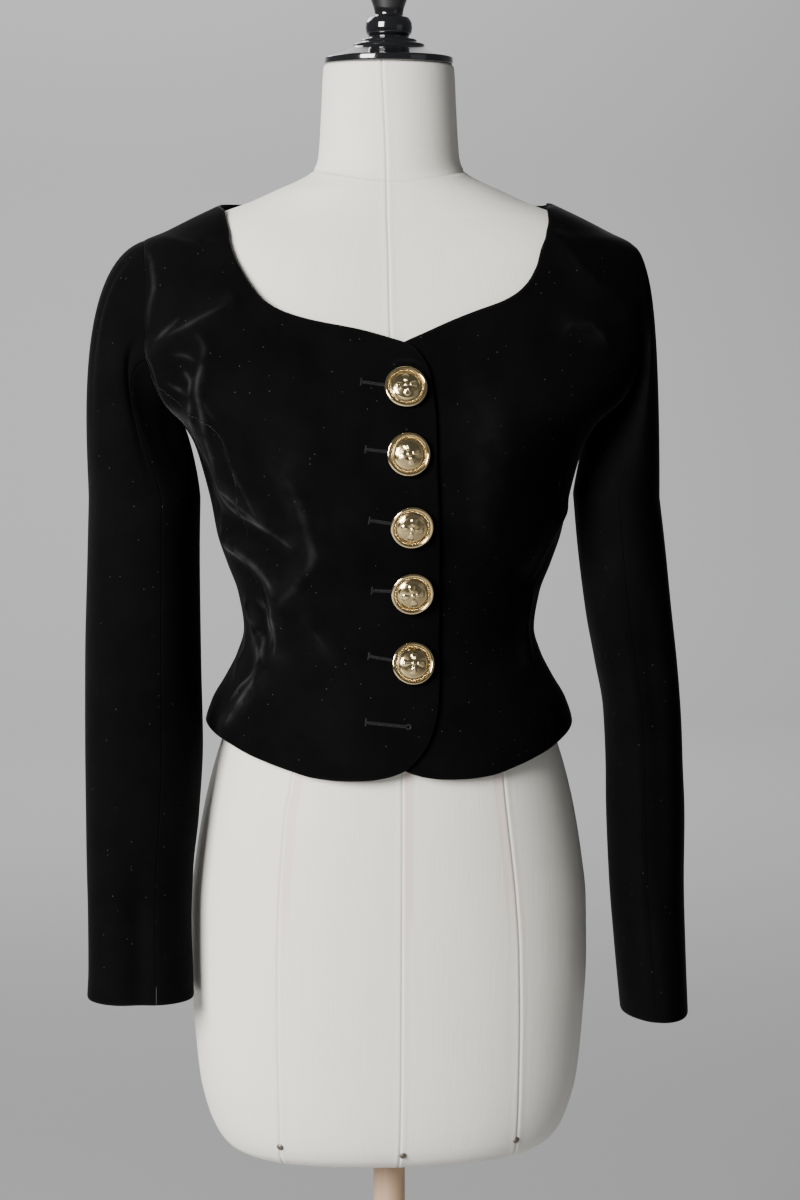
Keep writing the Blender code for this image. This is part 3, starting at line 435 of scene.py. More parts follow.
FOLDS = marks(
    front=(
        (6, 34, 0, -84, 1168), (6, 34, 0, 84, 1168),
        (3.5, 8, 0.04, -200, 1252, -178, 1270, -160, 1279, -136, 1294),
        (3, 8, 0, -160, 1264, -158, 1252, -162, 1228, -168, 1219), (-5.5, 18, 0, 215, 1337),
        (3, 9, 0.08, -168, 1205, -156, 1176, -148, 1155, -141, 1138, -128, 1127, -112, 1115, -90, 1098),
        (-3, 18, 0, -153, 1150, -148, 1122), (-2.2, 9, 0, -146, 1122, -128, 1106, -106, 1090),
        (5, 9, 0.08, -138, 1097, -127, 1090, -112, 1078, -100, 1060),
        (4, 12, 0.06, -94, 1159, -85, 1131, -74, 1096, -74, 1088, -81, 1071, -93, 1052),
        (4.5, 9, 0.1, -101, 1052, -101.5, 1031, -99, 1003),
        (-2, 8, 0, -108, 1052, -107, 1028, -105, 1004),
        (4, 8, 0.1, -119, 1042, -114, 1024, -111, 1003, -110, 981),
        (3, 9, 0.1, -110, 989, -123, 972, -141, 946), (2.5, 9, 0.05, -76, 1031, -59, 1008),
        (3, 10, 0.02, 140, 1274, 155, 1272, 165, 1264),
        (3, 11, 0.01, 131, 1344, 151, 1315, 168, 1303, 190, 1287), (2.2, 16, 0.05, 66, 1218, 67, 1105),
        (3.5, 11, 0.1, 140, 1120, 124, 1098, 110, 1074), (3, 10, 0.1, 110, 1048, 107, 1024, 108, 998),
    ),
    back=(
        (3, 12, 0.1, -110, 1078, -88, 1060, -60, 1046), (3.5, 12, 0.1, 112, 1082, 92, 1062, 66, 1048),
        (3, 12, 0.1, -70, 1036, -50, 1018, -34, 996), (3, 12, 0.1, 78, 1034, 54, 1020, 30, 1004),
        (3, 14, 0.1, -176, 1240, -150, 1222, -116, 1214), (3, 14, 0.1, 180, 1236, 152, 1226, 120, 1210),
    ),
)
CREASES = marks(
    front=(
        (1, 3, 0.5, -194, 1262, -184, 1272, -178, 1279),
        (0.8, 2.8, 0.35, -186, 1265, -170, 1273, -158, 1280, -143, 1288),
        (1.4, 3.2, 0.6, -163, 1264, -158, 1254, -160, 1240, -163, 1227, -163, 1217, -160, 1203,
         -157, 1188, -151, 1169, -146, 1152), (1, 2.8, 0.5, -174, 1236, -169, 1227, -169, 1217),
        (1, 2.8, 0.5, -186, 1226, -178, 1222, -169, 1217),
        (1.4, 3.4, 0.8, -169, 1215, -168, 1198, -162, 1179, -154, 1162, -148, 1149),
        (-1, 3, 0, -165, 1206, -161, 1188, -156, 1172),
        (0.9, 2.6, 0.15, -160, 1213, -155, 1204, -150, 1198),
        (0.9, 2.6, 0.22, -144, 1184, -140, 1167, -133, 1151, -123, 1132, -113, 1116),
        (1.5, 3, 0.8, -147, 1146, -141, 1135, -133, 1125, -121, 1118, -111, 1112, -99, 1104, -89, 1096),
        (1, 2.6, 0.6, -145, 1141, -137, 1135, -127, 1126, -113, 1115),
        (1.6, 3.4, 0.8, -143, 1106, -137, 1096, -126, 1090, -116, 1082, -108, 1073, -99, 1059),
        (0.7, 6.2, 0.24, -93, 1156, -86, 1140, -80, 1121, -75, 1103, -72, 1090, -78, 1075, -85, 1063,
         -93, 1051, -98, 1042),
        (1.2, 2.8, 0.7, -121, 1044, -117, 1033, -114, 1022, -112, 1010, -111, 999, -113, 988),
        (1.2, 2.6, 0.7, -117, 1035, -112, 1024, -108, 1015, -109, 1003, -107, 994),
        (1, 2.6, 0.6, -114, 1048, -106, 1041, -102, 1029, -100, 1020, -103, 1008),
        (1, 2, 0.6, -101, 1051, -101, 1038, -99, 1026, -98, 1014, -100, 1002),
        (1.3, 3.4, 0.7, -109, 996, -115, 983, -123, 972, -131, 960, -139, 946),
        (1, 3, 0.5, -109, 998, -118, 986, -128, 977, -135, 967),
        (1, 2.8, 0.5, -121, 1022, -123, 1008, -129, 994, -133, 981),
        (0.6, 4, 0.1, -77, 1033, -69, 1024, -62, 1014, -54, 1008),
        (0.5, 3, 0.1, -190, 1346, -174, 1343, -162, 1341, -146, 1342),
        (0.7, 2.4, 0.25, -184, 1250, -174, 1249, -166, 1245),
        (0.8, 3.4, 0.3, -204, 1336, -198.5, 1322, -197.5, 1305, -201, 1290, -203, 1272),
        (0.5, 1.8, 0.25, -202.5, 1264, -201, 1248, -196.5, 1230, -190, 1213, -183, 1204),
        (0.9, 4, 0.12, 132, 1268, 141, 1274, 154, 1273, 165, 1263, 171, 1254),
        (0.6, 6, 0.04, 137, 1338, 152, 1314, 170, 1300), (0.7, 4, 0.3, 139, 1118, 126, 1100, 114, 1080),
        (0.6, 4, 0.3, 112, 1046, 108, 1026, 110, 1004),
        (0.3, 2.2, 0.05, -12, 1240, -4, 1244, 6, 1244.5, 16, 1240),
    ),
    back=(
        (0.8, 4, 0.3, -112, 1076, -94, 1062, -66, 1049), (0.8, 4, 0.3, 112, 1080, 92, 1064, 68, 1050),
        (0.8, 3.5, 0.3, -94, 1050, -70, 1038, -52, 1020),
        (0.8, 3.5, 0.3, 100, 1048, 78, 1034, 56, 1020, 40, 1012),
        (0.7, 4, 0.3, -186, 1246, -160, 1228, -126, 1216), (0.7, 4, 0.3, 188, 1240, 160, 1230, 128, 1212),
    ),
)


def laid_on_jacket(folds):
    """Each fold with its path laid on the jacket's plain surface."""
    for fold in folds:
        flat = rounded_path(fold.path, 24) if len(fold.path) > 1 else fold.path
        yield fold, body_point(JACKET, turn_at(JACKET, flat[:, 0], flat[:, 1], fold.face), flat[:, 1])


LAID_FOLDS, LAID_CREASES = list(laid_on_jacket(FOLDS)), list(laid_on_jacket(CREASES))
print(len(LAID_FOLDS), "folds and", len(LAID_CREASES), "creases")


def plain_jacket(turn, height):
    return body_point(JACKET, turn, height)


def relief(point, laid, tapered=False):
    """How far the folds raise each point, and the highlight painted along them for sheen and crushed pile."""
    rise, press = np.zeros(point.shape[:-1]), np.zeros(point.shape[:-1])
    for fold, path in laid:
        low, high = path.min(0) - 3 * fold.width, path.max(0) + 3 * fold.width
        near = ((point > low) & (point < high)).all(-1)
        if near.any():
            off, along = nearest_on_path(point[near], path)
            share = np.sin(math.pi * np.clip(along, 0.02, 0.98)) ** 0.5 if tapered else 1.0
            rise[near] += fold.rise * share * bell(off, fold.width)
            narrow = fold.width * (0.60 if tapered else 1.0)
            press[near] = np.maximum(press[near], fold.press * share * bell(off, narrow))
    return rise, press


def jacket_skin(turn, height):
    """Points of the jacket's outer skin with every fold and crease, and the highlight painted along them."""
    point = plain_jacket(turn, height)
    out = way_out(plain_jacket, turn, height)
    broad, broad_press_highlight = relief(point, LAID_FOLDS)
    fine, fine_press_highlight = relief(point, LAID_CREASES, tapered=True)
    return point + out * (broad + fine)[..., None], np.maximum(broad_press_highlight, fine_press_highlight)


# %% [markdown]
# ## Cutting the panels
#
# Fronts, side panels and back are outlines on the body surface: hem, front edge, neckline,
# shoulder, armhole and seam. Shared edges are computed once and moved half of the seam
# gap to each side, so neighbours follow each other exactly and never touch.

# %% Edges that the panels share
WALL = 0.0020
SEAM_GAP = 0.0001
SHOULDER_TIP, UNDERARM = 1.3425, 1.1880
NECK_POINT = {-1: 1.3728, 1: 1.3755}
ARMHOLE_FRONT, ARMHOLE_BACK, ARMHOLE_ROUND, ARMHOLE_STEP = 15.0, 14.0, 0.70, 2
FRONT_NOTCH, BACK_NOTCH = 120, 240
FRONT_SEAM = (
    (58.0, 0.9235), (62.0, 0.975), (66.0, 1.020), (64.5, 1.070), (61.5, 1.120), (61.0, 1.165), (65.5, 1.198),
)
BACK_SEAM = ((117.0, 0.9420), (114.0, 0.980), (112.0, 1.020), (114.0, 1.080), (115.0, 1.140), (111.0, 1.190))
FRONT_HEM = (
    (-4.0, 0.9207), (0.7, 0.9139), (8.0, 0.9090), (16.0, 0.9068), (24.0, 0.9065),
    (34.0, 0.9082), (45.0, 0.9145), (58.0, 0.9235),
)
SIDE_HEM = ((58.0, 0.9235), (72.0, 0.9340), (90.0, 0.9415), (117.0, 0.9420))
BACK_HEM = ((117.0, 0.9420), (140.0, 0.9370), (165.0, 0.9320), (180.0, 0.9310))
BACK_NECKLINE = (
    (100.0, 1.3740), (112.0, 1.3745), (128.0, 1.3660), (152.0, 1.3560), (180.0, 1.3520),
    (208.0, 1.3560), (232.0, 1.3660), (248.0, 1.3745), (260.0, 1.3740),
)
NECKLINE = {
    -1: pairs(
        139.1, 1368.5, 138.7, 1363, 136.8, 1347, 130.5, 1322.9, 121.1, 1306.5, 111, 1294.5, 97.7, 1286.2,
        79.4, 1280, 50.9, 1273.5, 30.7, 1268.8, 10.3, 1263, -2, 1259, -11, 1253.5,
    ),
    1: pairs(
        128.8, 1370, 127.5, 1365, 125.5, 1356, 119, 1340, 112, 1320.5, 103.9, 1307.8, 94.5, 1299.5,
        82.2, 1293, 60.9, 1285.5, 40.2, 1277.5, 19.2, 1268.3, 2, 1260.8, -11, 1253.5,
    ),
}
FRONT_EDGE = pairs(
    11, 1253.5, 16.5, 1245.7, 21, 1235.6, 23.4, 1217.9, 24.4, 1171.5, 26.2, 1130, 28.5, 1080,
    29.7, 1031.6, 29.7, 995, 28.2, 968.4, 25.5, 954, 21, 940, 15.4, 930.3, 7.4, 920.7,
)


def armhole(turn_round, side):
    """Turn and height of the armhole: 0 is the shoulder tip, 90 the front, 180 the underarm."""
    angle = np.radians(turn_round)
    middle, half = (SHOULDER_TIP + UNDERARM) / 2, (SHOULDER_TIP - UNDERARM) / 2
    lean = np.sin(angle)
    reach = np.where(lean > 0, ARMHOLE_FRONT, ARMHOLE_BACK) * np.abs(lean) ** ARMHOLE_ROUND
    return np.stack([side * np.radians(90 - np.sign(lean) * reach), middle + half * np.cos(angle)], -1)


def in_turns(rows, side):
    """A table of degrees and heights as turns and heights on one side."""
    rows = np.asarray(rows, float)
    return np.stack([side * np.radians(rows[:, 0]), rows[:, 1]], -1)


def on_front(rows, side):
    """A table of distances and heights on the front as turns and heights."""
    rows = np.asarray(rows, float)
    return np.stack([turn_at(JACKET, side * rows[:, 0], rows[:, 1]), rows[:, 1]], -1)


def shift(edge, metres):
    """An edge of turns and heights, moved round the body by a distance."""
    around = norm(plain_jacket(edge[:, 0], edge[:, 1])[:, :2], axis=-1)
    return edge + np.stack([metres / around, 0 * around], -1)


def seam_line(rows, notch, side, shifted):
    """A side seam from the hem up to its notch on the armhole, moved half a gap round."""
    line = np.concatenate([in_turns(rows, side), armhole([notch], side)])
    return shift(rounded_path(line, 110), shifted * SEAM_GAP / 2)


def shoulder_line(side, shifted):
    """A shoulder seam from its tip up to the neck point, moved half a gap round."""
    heights = np.linspace(SHOULDER_TIP, NECK_POINT[side], 32)
    line = np.stack([np.full(len(heights), side * math.pi / 2), heights], -1)
    return shift(line, shifted * SEAM_GAP / 2)


def joined(*edges):
    """One closed outline from edges that each start where the last ends, and which are free."""
    free = [np.full(len(edge) - 1, is_free) for edge, is_free in edges]
    return np.concatenate([edge[:-1] for edge, _ in edges]), np.concatenate(free)


def front_outline(side):
    shoulder, seam = shoulder_line(side, -side), seam_line(FRONT_SEAM, FRONT_NOTCH, side, -side)
    edge = rounded_path(on_front(FRONT_EDGE[::-1] * (-1, 1), side), 180)
    neck = rounded_path(np.concatenate([shoulder[-1:], on_front(NECKLINE[side], side)]), 110)[::-1]
    hem = rounded_path(in_turns(FRONT_HEM[::-1], side), 80)
    hole = armhole(np.arange(0, FRONT_NOTCH + 1, ARMHOLE_STEP), side)
    hem[0], hem[-1], neck[0] = seam[0], edge[0], edge[-1]
    hole[0], hole[-1] = shoulder[0], seam[-1]
    sewn = ((shoulder[::-1], False), (hole, False), (seam[::-1], False))
    return joined((hem, True), (edge, True), (neck, True), *sewn)


def side_outline(side):
    front = seam_line(FRONT_SEAM, FRONT_NOTCH, side, side)
    back = seam_line(BACK_SEAM, BACK_NOTCH, side, -side)
    hole = armhole(np.arange(BACK_NOTCH, FRONT_NOTCH - 1, -ARMHOLE_STEP), side)
    hem = rounded_path(in_turns(SIDE_HEM, side), 60)
    hem[0], hem[-1], hole[0], hole[-1] = front[0], back[0], back[-1], front[-1]
    return joined((hem, True), (back, False), (hole, False), (front[::-1], False))


def back_outline():
    rising = {}
    for side in (1, -1):
        seam, shoulder = seam_line(BACK_SEAM, BACK_NOTCH, side, side), shoulder_line(side, side)
        hole = armhole(np.arange(BACK_NOTCH, 361, ARMHOLE_STEP), side)
        turned_round = (2 * math.pi, 0) if side < 0 else (0, 0)
        rising[side] = np.concatenate([seam, hole[1:-1], shoulder]) + turned_round
    left, right = rising[1], rising[-1]
    neck = rounded_path(np.concatenate([left[-1:], in_turns(BACK_NECKLINE, 1), right[-1:]]), 90)
    right_hem = in_turns(BACK_HEM[-2::-1], -1) + (2 * math.pi, 0)
    hem = rounded_path(np.concatenate([in_turns(BACK_HEM, 1), right_hem]), 150)
    hem[0], hem[-1] = left[0], right[0]
    return joined((hem, True), (right, False), (neck[::-1], True), (left[::-1], False))


# %% [markdown]
# ## Filling an outline with cloth
#
# An even net of triangles follows any outline, where a grid would fold up at rounded
# corners. Close rows inside the edge give room for the roll of a turned edge. The cloth
# is a wall: its face takes all creases, its inner side only the broad folds.

# %% A net of triangles and a cloth wall
FLAT_RADIUS = 0.150
CREASE_ROWS, CREASE_STEP, CLOSEST = (-0.0017, -0.0008, 0.0, 0.0008, 0.0017), 0.0014, 0.0006
RIM_ROWS = (0.0006, 0.0013, 0.0022)
ROLL_DEPTH, ROLL_DROP, SEAM_DEPTH, SEAM_DROP = 0.0024, 0.0009, 0.0012, 0.0002
# A thin line of painted highlight runs just inside each free edge, for the sheen on its roll.
EDGE_HIGHLIGHT, EDGE_HIGHLIGHT_INSET, EDGE_HIGHLIGHT_WIDTH = 0.07, 0.0008, 0.0009


def inside(points, outline):
    """Which points lie within a closed outline, by counting the edges that a ray crosses."""
    start, end = outline, np.roll(outline, -1, axis=0)
    x, y = points[:, :1], points[:, 1:]
    spanned = (start[:, 1] > y) != (end[:, 1] > y)
    rise = np.where(end[:, 1] == start[:, 1], 1.0, end[:, 1] - start[:, 1])
    crossing = start[:, 0] + (y - start[:, 1]) / rise * (end[:, 0] - start[:, 0])
    return ((x < crossing) & spanned).sum(1) % 2 == 1


def crease_points():
    """Flat points along every crease and close beside it, so that the net follows its crest."""
    made = []
    for crease in CREASES:
        length = norm(np.diff(crease.path, axis=0), axis=1).sum()
        flat = rounded_path(crease.path, max(6, int(length / CREASE_STEP)))
        turn = turn_at(JACKET, flat[:, 0], flat[:, 1], crease.face)
        turn = turn % (2 * math.pi) if crease.face == "back" else turn
        line = np.stack([turn * FLAT_RADIUS, flat[:, 1]], -1)
        run = np.gradient(line, axis=0)
        across = unit(np.stack([-run[:, 1], run[:, 0]], -1))
        made += [line + off * across for off in CREASE_ROWS]
    made = np.concatenate(made)
    return made[np.unique(np.floor(made / CLOSEST), axis=0, return_index=True)[1]]


CREASE_POINTS = crease_points()
near_crease = KDTree(len(CREASE_POINTS))
for number, (x, y) in enumerate(CREASE_POINTS):
    near_crease.insert((x, y, 0), number)
near_crease.balance()


def net(outline, step):
    """Flat points and triangles inside an outline, whose own points come first, in order."""
    closed = np.concatenate([outline, outline[:1]])
    run = np.roll(outline, -1, axis=0) - np.roll(outline, 1, axis=0)
    (x, y), (next_x, next_y) = outline.T, np.roll(outline, -1, axis=0).T
    way_round = np.sign((x * next_y - next_x * y).sum())
    inwards = unit(way_round * np.stack([-run[:, 1], run[:, 0]], -1))
    kept = [outline]
    for depth in RIM_ROWS:
        row = outline + depth * inwards
        kept.append(row[inside(row, outline) & (nearest_on_path(row, closed)[0] > 0.9 * depth)])
    low, high = outline.min(0), outline.max(0)
    rows = [low[1] + step / 2]
    while rows[-1] < high[1]:
        rows.append(rows[-1] + (step * 0.5 if rows[-1] > 1.325 else step))
    grid = []
    for number, row in enumerate(rows):
        across = np.arange(low[0] + (number % 2) * step / 2, high[0], step)
        grid.append(np.stack([across, np.full(len(across), row)], -1))
    grid = np.concatenate(grid)
    grid = grid[[near_crease.find((x, y, 0))[2] > 0.6 * step for x, y in grid]]
    for points, margin in ((CREASE_POINTS, 0.0004), (grid, 0.45 * step)):
        points = points[inside(points, outline)]
        kept.append(points[nearest_on_path(points, closed)[0] > RIM_ROWS[-1] + margin])
    points = np.concatenate(kept)
    rim = [list(range(len(outline)))]
    made = delaunay_2d_cdt([Vector(point) for point in points], [], rim, 1, 1.0e-7, True)
    source = np.array([ids[0] for ids in made[3]])
    faces = source[np.array(made[2])]
    return points, faces[inside(points[faces].mean(1), outline)]


def mesh_piece(name, points, faces, finish, **values):
    """An object of closed skin that faces out, with values at its points as attributes."""
    mesh = bpy.data.meshes.new(name)
    mesh.from_pydata(np.asarray(points).tolist(), [], [list(map(int, face)) for face in faces])
    editable = bmesh.new()
    editable.from_mesh(mesh)
    bmesh.ops.recalc_face_normals(editable, faces=editable.faces)
    editable.to_mesh(mesh)
    editable.free()
    mesh.shade_smooth()
    corner = np.empty(len(mesh.loops), dtype=np.int32)
    mesh.loops.foreach_get("vertex_index", corner)
    for word, numbers in values.items():
        numbers = np.asarray(numbers, float)
        if numbers.ndim == 2:
            mesh.uv_layers.new(name=word).data.foreach_set("uv", numbers[corner].ravel())
        else:
            mesh.attributes.new(word, "FLOAT", "POINT").data.foreach_set("value", numbers)
    mesh.materials.append(finish.material)
    made = new_object(name, mesh)
    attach(made, "root")
    return made


def cloth_wall(name, outer, inner, out, faces, rim, free, flat, press):
    """A wall of velvet between two skins, rolled at its free edges and dipped at its seams, with a thin
    highlight painted just inside its free edges.
    """
    edge = np.concatenate([outer[rim], outer[rim[:1]]])
    depth, sewn_depth = nearest_on_path(outer, edge, free)[0], nearest_on_path(outer, edge, ~free)[0]
    roll = ROLL_DROP * np.clip(1 - depth / ROLL_DEPTH, 0, 1) ** 2
    roll = np.maximum(roll, SEAM_DROP * np.clip(1 - sewn_depth / SEAM_DEPTH, 0, 1) ** 2)
    outer = outer - out * roll[:, None]
    inner = inner + out * (0.6 * roll)[:, None]
    # Painted highlight: a thin pale line in the velvet's colour just inside the free edges.
    press = np.maximum(press, EDGE_HIGHLIGHT * bell(depth - EDGE_HIGHLIGHT_INSET, EDGE_HIGHLIGHT_WIDTH))
    count = len(outer)
    under = [face[::-1] + count for face in faces]
    sides = [(a, b, b + count, a + count) for a, b in zip(rim, np.roll(rim, -1))]
    made = mesh_piece(
        "cloth_" + name, np.concatenate([outer, inner]), [*faces, *under, *sides], velvet,
        flat=np.concatenate([flat, flat]), pressed=np.concatenate([press, 0 * press]),
    )
    corners = outer[np.array([face[:3] for face in faces])]
    area = norm(np.cross(corners[:, 1] - corners[:, 0], corners[:, 2] - corners[:, 0]), axis=-1).sum() / 2
    if len(faces[0]) == 4:
        area *= 2
    spread = outer.max(0) - outer.min(0)
    print(f"{name}: {len(made.data.polygons)} faces, face area {area:.4f} m2, spread {spread.round(3)}")
    return made


# %% [markdown]
# ## Fronts, side panels and back
#
# The wearer's right front laps over the left, so near the centre it is lifted by one wall
# and a little air. The pull creases sit on that front, which gets the finest net.

# %% Body of the jacket
LAP_LIFT, LAP_FULL_FROM, LAP_FADES_AT = WALL + 0.0016, -0.034, -0.070


def broad_point(turn, height):
    """The jacket's skin with its broad folds but none of the sharp creases."""
    point = plain_jacket(turn, height)
    out = way_out(plain_jacket, turn, height)
    return point + out * relief(point, LAID_FOLDS)[0][..., None]


def lap_lift(x):
    """How far the lapping front stands off the body surface, by its x."""
    share = np.clip((x - LAP_FADES_AT) / (LAP_FULL_FROM - LAP_FADES_AT), 0, 1)
    return LAP_LIFT * share * share * (3 - 2 * share)


def cut_panel(name, edges, step, lapping=False):
    """A cut piece of the jacket's body from its outline in turns and heights."""
    outline, free = edges
    flat, faces = net(outline * (FLAT_RADIUS, 1), step)
    turn, height = flat[:, 0] / FLAT_RADIUS, flat[:, 1]
    outer, press = jacket_skin(turn, height)
    inner, out = broad_point(turn, height), way_out(broad_point, turn, height)
    raised = out * (lap_lift(inner[:, 0]) * lapping)[:, None]
    rim = np.arange(len(outline))
    piece = cloth_wall(name, outer + raised, inner + raised - out * WALL, out, faces, rim, free, flat, press)
    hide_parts(name)
    return piece


fine = 1
front_right = cut_panel("front_right", front_outline(-1), 0.0018 * fine, lapping=True)
front_left = cut_panel("front_left", front_outline(1), 0.0023 * fine)
side_right = cut_panel("side_right", side_outline(-1), 0.0026 * fine)
side_left = cut_panel("side_left", side_outline(1), 0.0026 * fine)
back = cut_panel("back", back_outline(), 0.0030 * fine)

# %% [markdown]
# ## Sleeves
#
# A two-piece sleeve leaves the armhole seam in the cloth's own direction and falls into a
# hanging oval tube. A curve between the two gives the sleeve head.

# %% Sleeves
SleeveRow = namedtuple("SleeveRow", "height x y half_x half_y squareness")
SleeveFold = namedtuple("SleeveFold", "rise turn width top bottom")
SLEEVES = {
    -1: in_metres(SleeveRow, 5, (
        (1130, 204.5, -12, 46.2, 62, 2.1), (1080, 205.5, -15, 46.8, 58.5, 2.1),
        (1000, 206.6, -19, 48.3, 53, 2.1), (930, 206.8, -23, 48.8, 48, 2.1),
        (868, 208.7, -26, 46.8, 46, 2.1), (825, 211, -28, 44.2, 45, 2.1),
        (780, 211.7, -30, 42.9, 44, 2.1), (737, 211.2, -31, 43.6, 41.5, 2.1),
        (717, 211.5, -32, 44.4, 40.5, 2.1),
    )),
    1: in_metres(SleeveRow, 5, (
        (1130, 190.5, -10, 34.3, 69, 2), (1085, 194.6, -13, 34.9, 65.5, 2),
        (1032, 200.5, -16, 34.6, 61, 1.95), (992, 206.3, -18, 33.3, 58.5, 1.9),
        (951, 211.6, -20, 31.5, 56, 1.85), (910, 213.7, -22, 31.7, 54, 1.85),
        (869, 214.9, -24, 32.6, 52.5, 1.85), (810, 215.9, -26, 31.2, 52, 1.85),
        (746, 219.2, -28, 29.3, 51.5, 1.9), (694, 222.8, -29, 27.8, 52, 1.9),
    )),
}
SLEEVE_FOLDS = {
    -1: [SleeveFold(*row) for row in (
        (-0.0060, 86, 16, 0.830, 0.700), (0.0030, 52, 20, 1.180, 0.760), (-0.0030, 150, 24, 1.120, 0.960),
        (0.0030, 285, 22, 1.100, 0.800), (-0.0040, 240, 18, 0.860, 0.700),
    )],
    1: [SleeveFold(*row) for row in (
        (0.0050, 122, 13, 1.090, 0.690), (-0.0040, 84, 18, 1.060, 0.780), (0.0030, 40, 22, 1.150, 0.900),
        (-0.0030, 250, 22, 1.020, 0.800), (0.0030, 300, 20, 0.960, 0.700),
    )],
}
CAP_REACH, CAP_SPRING = {-1: 0.88, 1: 0.38}, {-1: 16.0, 1: 6.0}
CAP_FALL, UNDERARM_LEAN, LEAN_EASES = 0.50, -0.40, 2.40
FRONT_SLEEVE_SEAM, BACK_SLEEVE_SEAM, SLEEVE_SEAM_TURN = 105, 255, 0.12


def sleeve_ring(table, turn_round, height, side):
    """A point of the hanging sleeve: 0 is its outer side, 90 its front, 180 next to the body."""
    x, y, half_x, half_y, square = section(table[::-1], height)
    out, ahead = np.cos(turn_round), np.sin(turn_round)
    size = (np.abs(out) ** square + np.abs(ahead) ** square) ** (-1 / square)
    return np.stack([side * (x + half_x * out * size), y - half_y * ahead * size, height + 0 * size], -1)


def sleeve_rise(folds, turn_round, height):
    """How far the sleeve's long soft folds stand out at a turn and height."""
    rise = 0
    for fold in folds:
        off = (np.degrees(turn_round) - fold.turn + 180) % 360 - 180
        middle, half = (fold.top + fold.bottom) / 2, (fold.top - fold.bottom) / 2
        fade = np.exp(-(((height - middle) / half) ** 4))
        rise = rise + fold.rise * bell(off, fold.width) * fade
    return rise


def sleeve_start(turn_round, side):
    """Where the sleeve leaves the armhole, and which way it goes, at each turn round it."""
    degrees = np.degrees(turn_round)
    here, behind, beyond = (armhole(degrees + off, side) for off in (0, -0.5, 0.5))
    point = broad_point(here[..., 0], here[..., 1])
    along = broad_point(beyond[..., 0], beyond[..., 1]) - broad_point(behind[..., 0], behind[..., 1])
    out = way_out(broad_point, here[..., 0], here[..., 1])
    away = unit(-side * np.cross(along, out))
    share = ((1 - np.cos(turn_round)) / 2)[..., None]
    spring = math.radians(CAP_SPRING[side])
    head = math.cos(spring) * away + math.sin(spring) * out
    lean = side * (UNDERARM_LEAN + LEAN_EASES * (1 - share))
    leaves = (1 - share) * head + share * (lean * (1, 0, 0) - np.array([0, 0, 1]))
    bend = np.clip(np.arctan2((leaves * out).sum(-1), (leaves * away).sum(-1)), 0, math.pi)[..., None]
    gap = np.cos(bend / 2) * away + np.sin(bend / 2) * out
    return point + gap * SEAM_GAP, np.cos(bend) * away + np.sin(bend) * out


def closer_at_ends(first, last, step, ends):
    """Even numbers from first to last, with extra ones at set distances from both ends."""
    middle = np.linspace(first, last, max(3, round((last - first) / step)))
    middle = middle[(middle > first + ends[-1] + step / 3) & (middle < last - ends[-1] - step / 3)]
    near = np.array(ends)
    return np.concatenate([[first], first + near, middle, (last - near)[::-1], [last]])


def sleeve(name, side, first, last):
    """A cut piece of a sleeve between two turns round it, from the armhole to the cuff."""
    table = SLEEVES[side]
    first, last = first + SLEEVE_SEAM_TURN, last - SLEEVE_SEAM_TURN
    around = np.radians(closer_at_ends(first, last, 2.2 * fine, (0.7, 1.6, 2.8)))
    over = closer_at_ends(0, 1, 0.024 * fine, (0.004, 0.009, 0.016))
    below = 1 + closer_at_ends(0, 1, 0.0065 * fine, (0.0015, 0.0032, 0.0055))[4:]
    down, turn_round = np.meshgrid(np.concatenate([over, below]), around, indexing="ij")
    height = table[0].height + (table[-1].height - table[0].height) * np.clip(down - 1, 0, 1)
    ring = sleeve_ring(table, turn_round, height, side)
    outwards = unit((ring - [side * table[0].x, table[0].y, 0]) * (1, 1, 0))
    ring = ring + outwards * sleeve_rise(SLEEVE_FOLDS[side], turn_round, height)[..., None]
    start, leaves = sleeve_start(around, side)
    span = norm(ring - start, axis=-1, keepdims=True)
    t = np.clip(down, 0, 1)[..., None]
    cap = (
        (1 + 2 * t) * (1 - t) ** 2 * start + t * (1 - t) ** 2 * leaves * span * CAP_REACH[side]
        + t**2 * (3 - 2 * t) * ring + t**2 * (t - 1) * np.array([0, 0, -1.0]) * span * CAP_FALL
    )
    outer = np.where(down[..., None] < 1, cap, ring)
    out = unit(side * np.cross(np.gradient(outer, axis=1), np.gradient(outer, axis=0)))
    rows, columns = down.shape
    index = np.arange(rows * columns).reshape(rows, columns)
    cells = np.stack([index[:-1, :-1], index[:-1, 1:], index[1:, 1:], index[1:, :-1]], -1).reshape(-1, 4)
    rim = np.concatenate([index[0], index[1:, -1], index[-1, -2::-1], index[-2:0:-1, 0]])
    free = np.zeros(len(rim), bool)
    free[rows + columns - 2:rows + 2 * columns - 3] = True
    flat = np.stack([turn_round * 0.05, height - (1 - t[..., 0]) * -0.2], -1).reshape(-1, 2)
    outer, out = outer.reshape(-1, 3), out.reshape(-1, 3)
    piece = cloth_wall(name, outer, outer - out * WALL, out, cells, rim, free, flat, np.zeros(len(outer)))
    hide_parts(name)
    return piece


top_sleeve_right = sleeve("top_sleeve_right", -1, BACK_SLEEVE_SEAM - 360, FRONT_SLEEVE_SEAM)
under_sleeve_right = sleeve("under_sleeve_right", -1, FRONT_SLEEVE_SEAM, BACK_SLEEVE_SEAM)
top_sleeve_left = sleeve("top_sleeve_left", 1, BACK_SLEEVE_SEAM - 360, FRONT_SLEEVE_SEAM)
under_sleeve_left = sleeve("under_sleeve_left", 1, FRONT_SLEEVE_SEAM, BACK_SLEEVE_SEAM)

# %% [markdown]
# ## Small repeats by Geometry Nodes
#
# Stitches and beads are one shape set out many times. A node tree steps along a curve by
# a named pitch, puts the shape on each step and turns it to the surface. Its inputs are
# set by name, and the result is baked to a plain mesh.


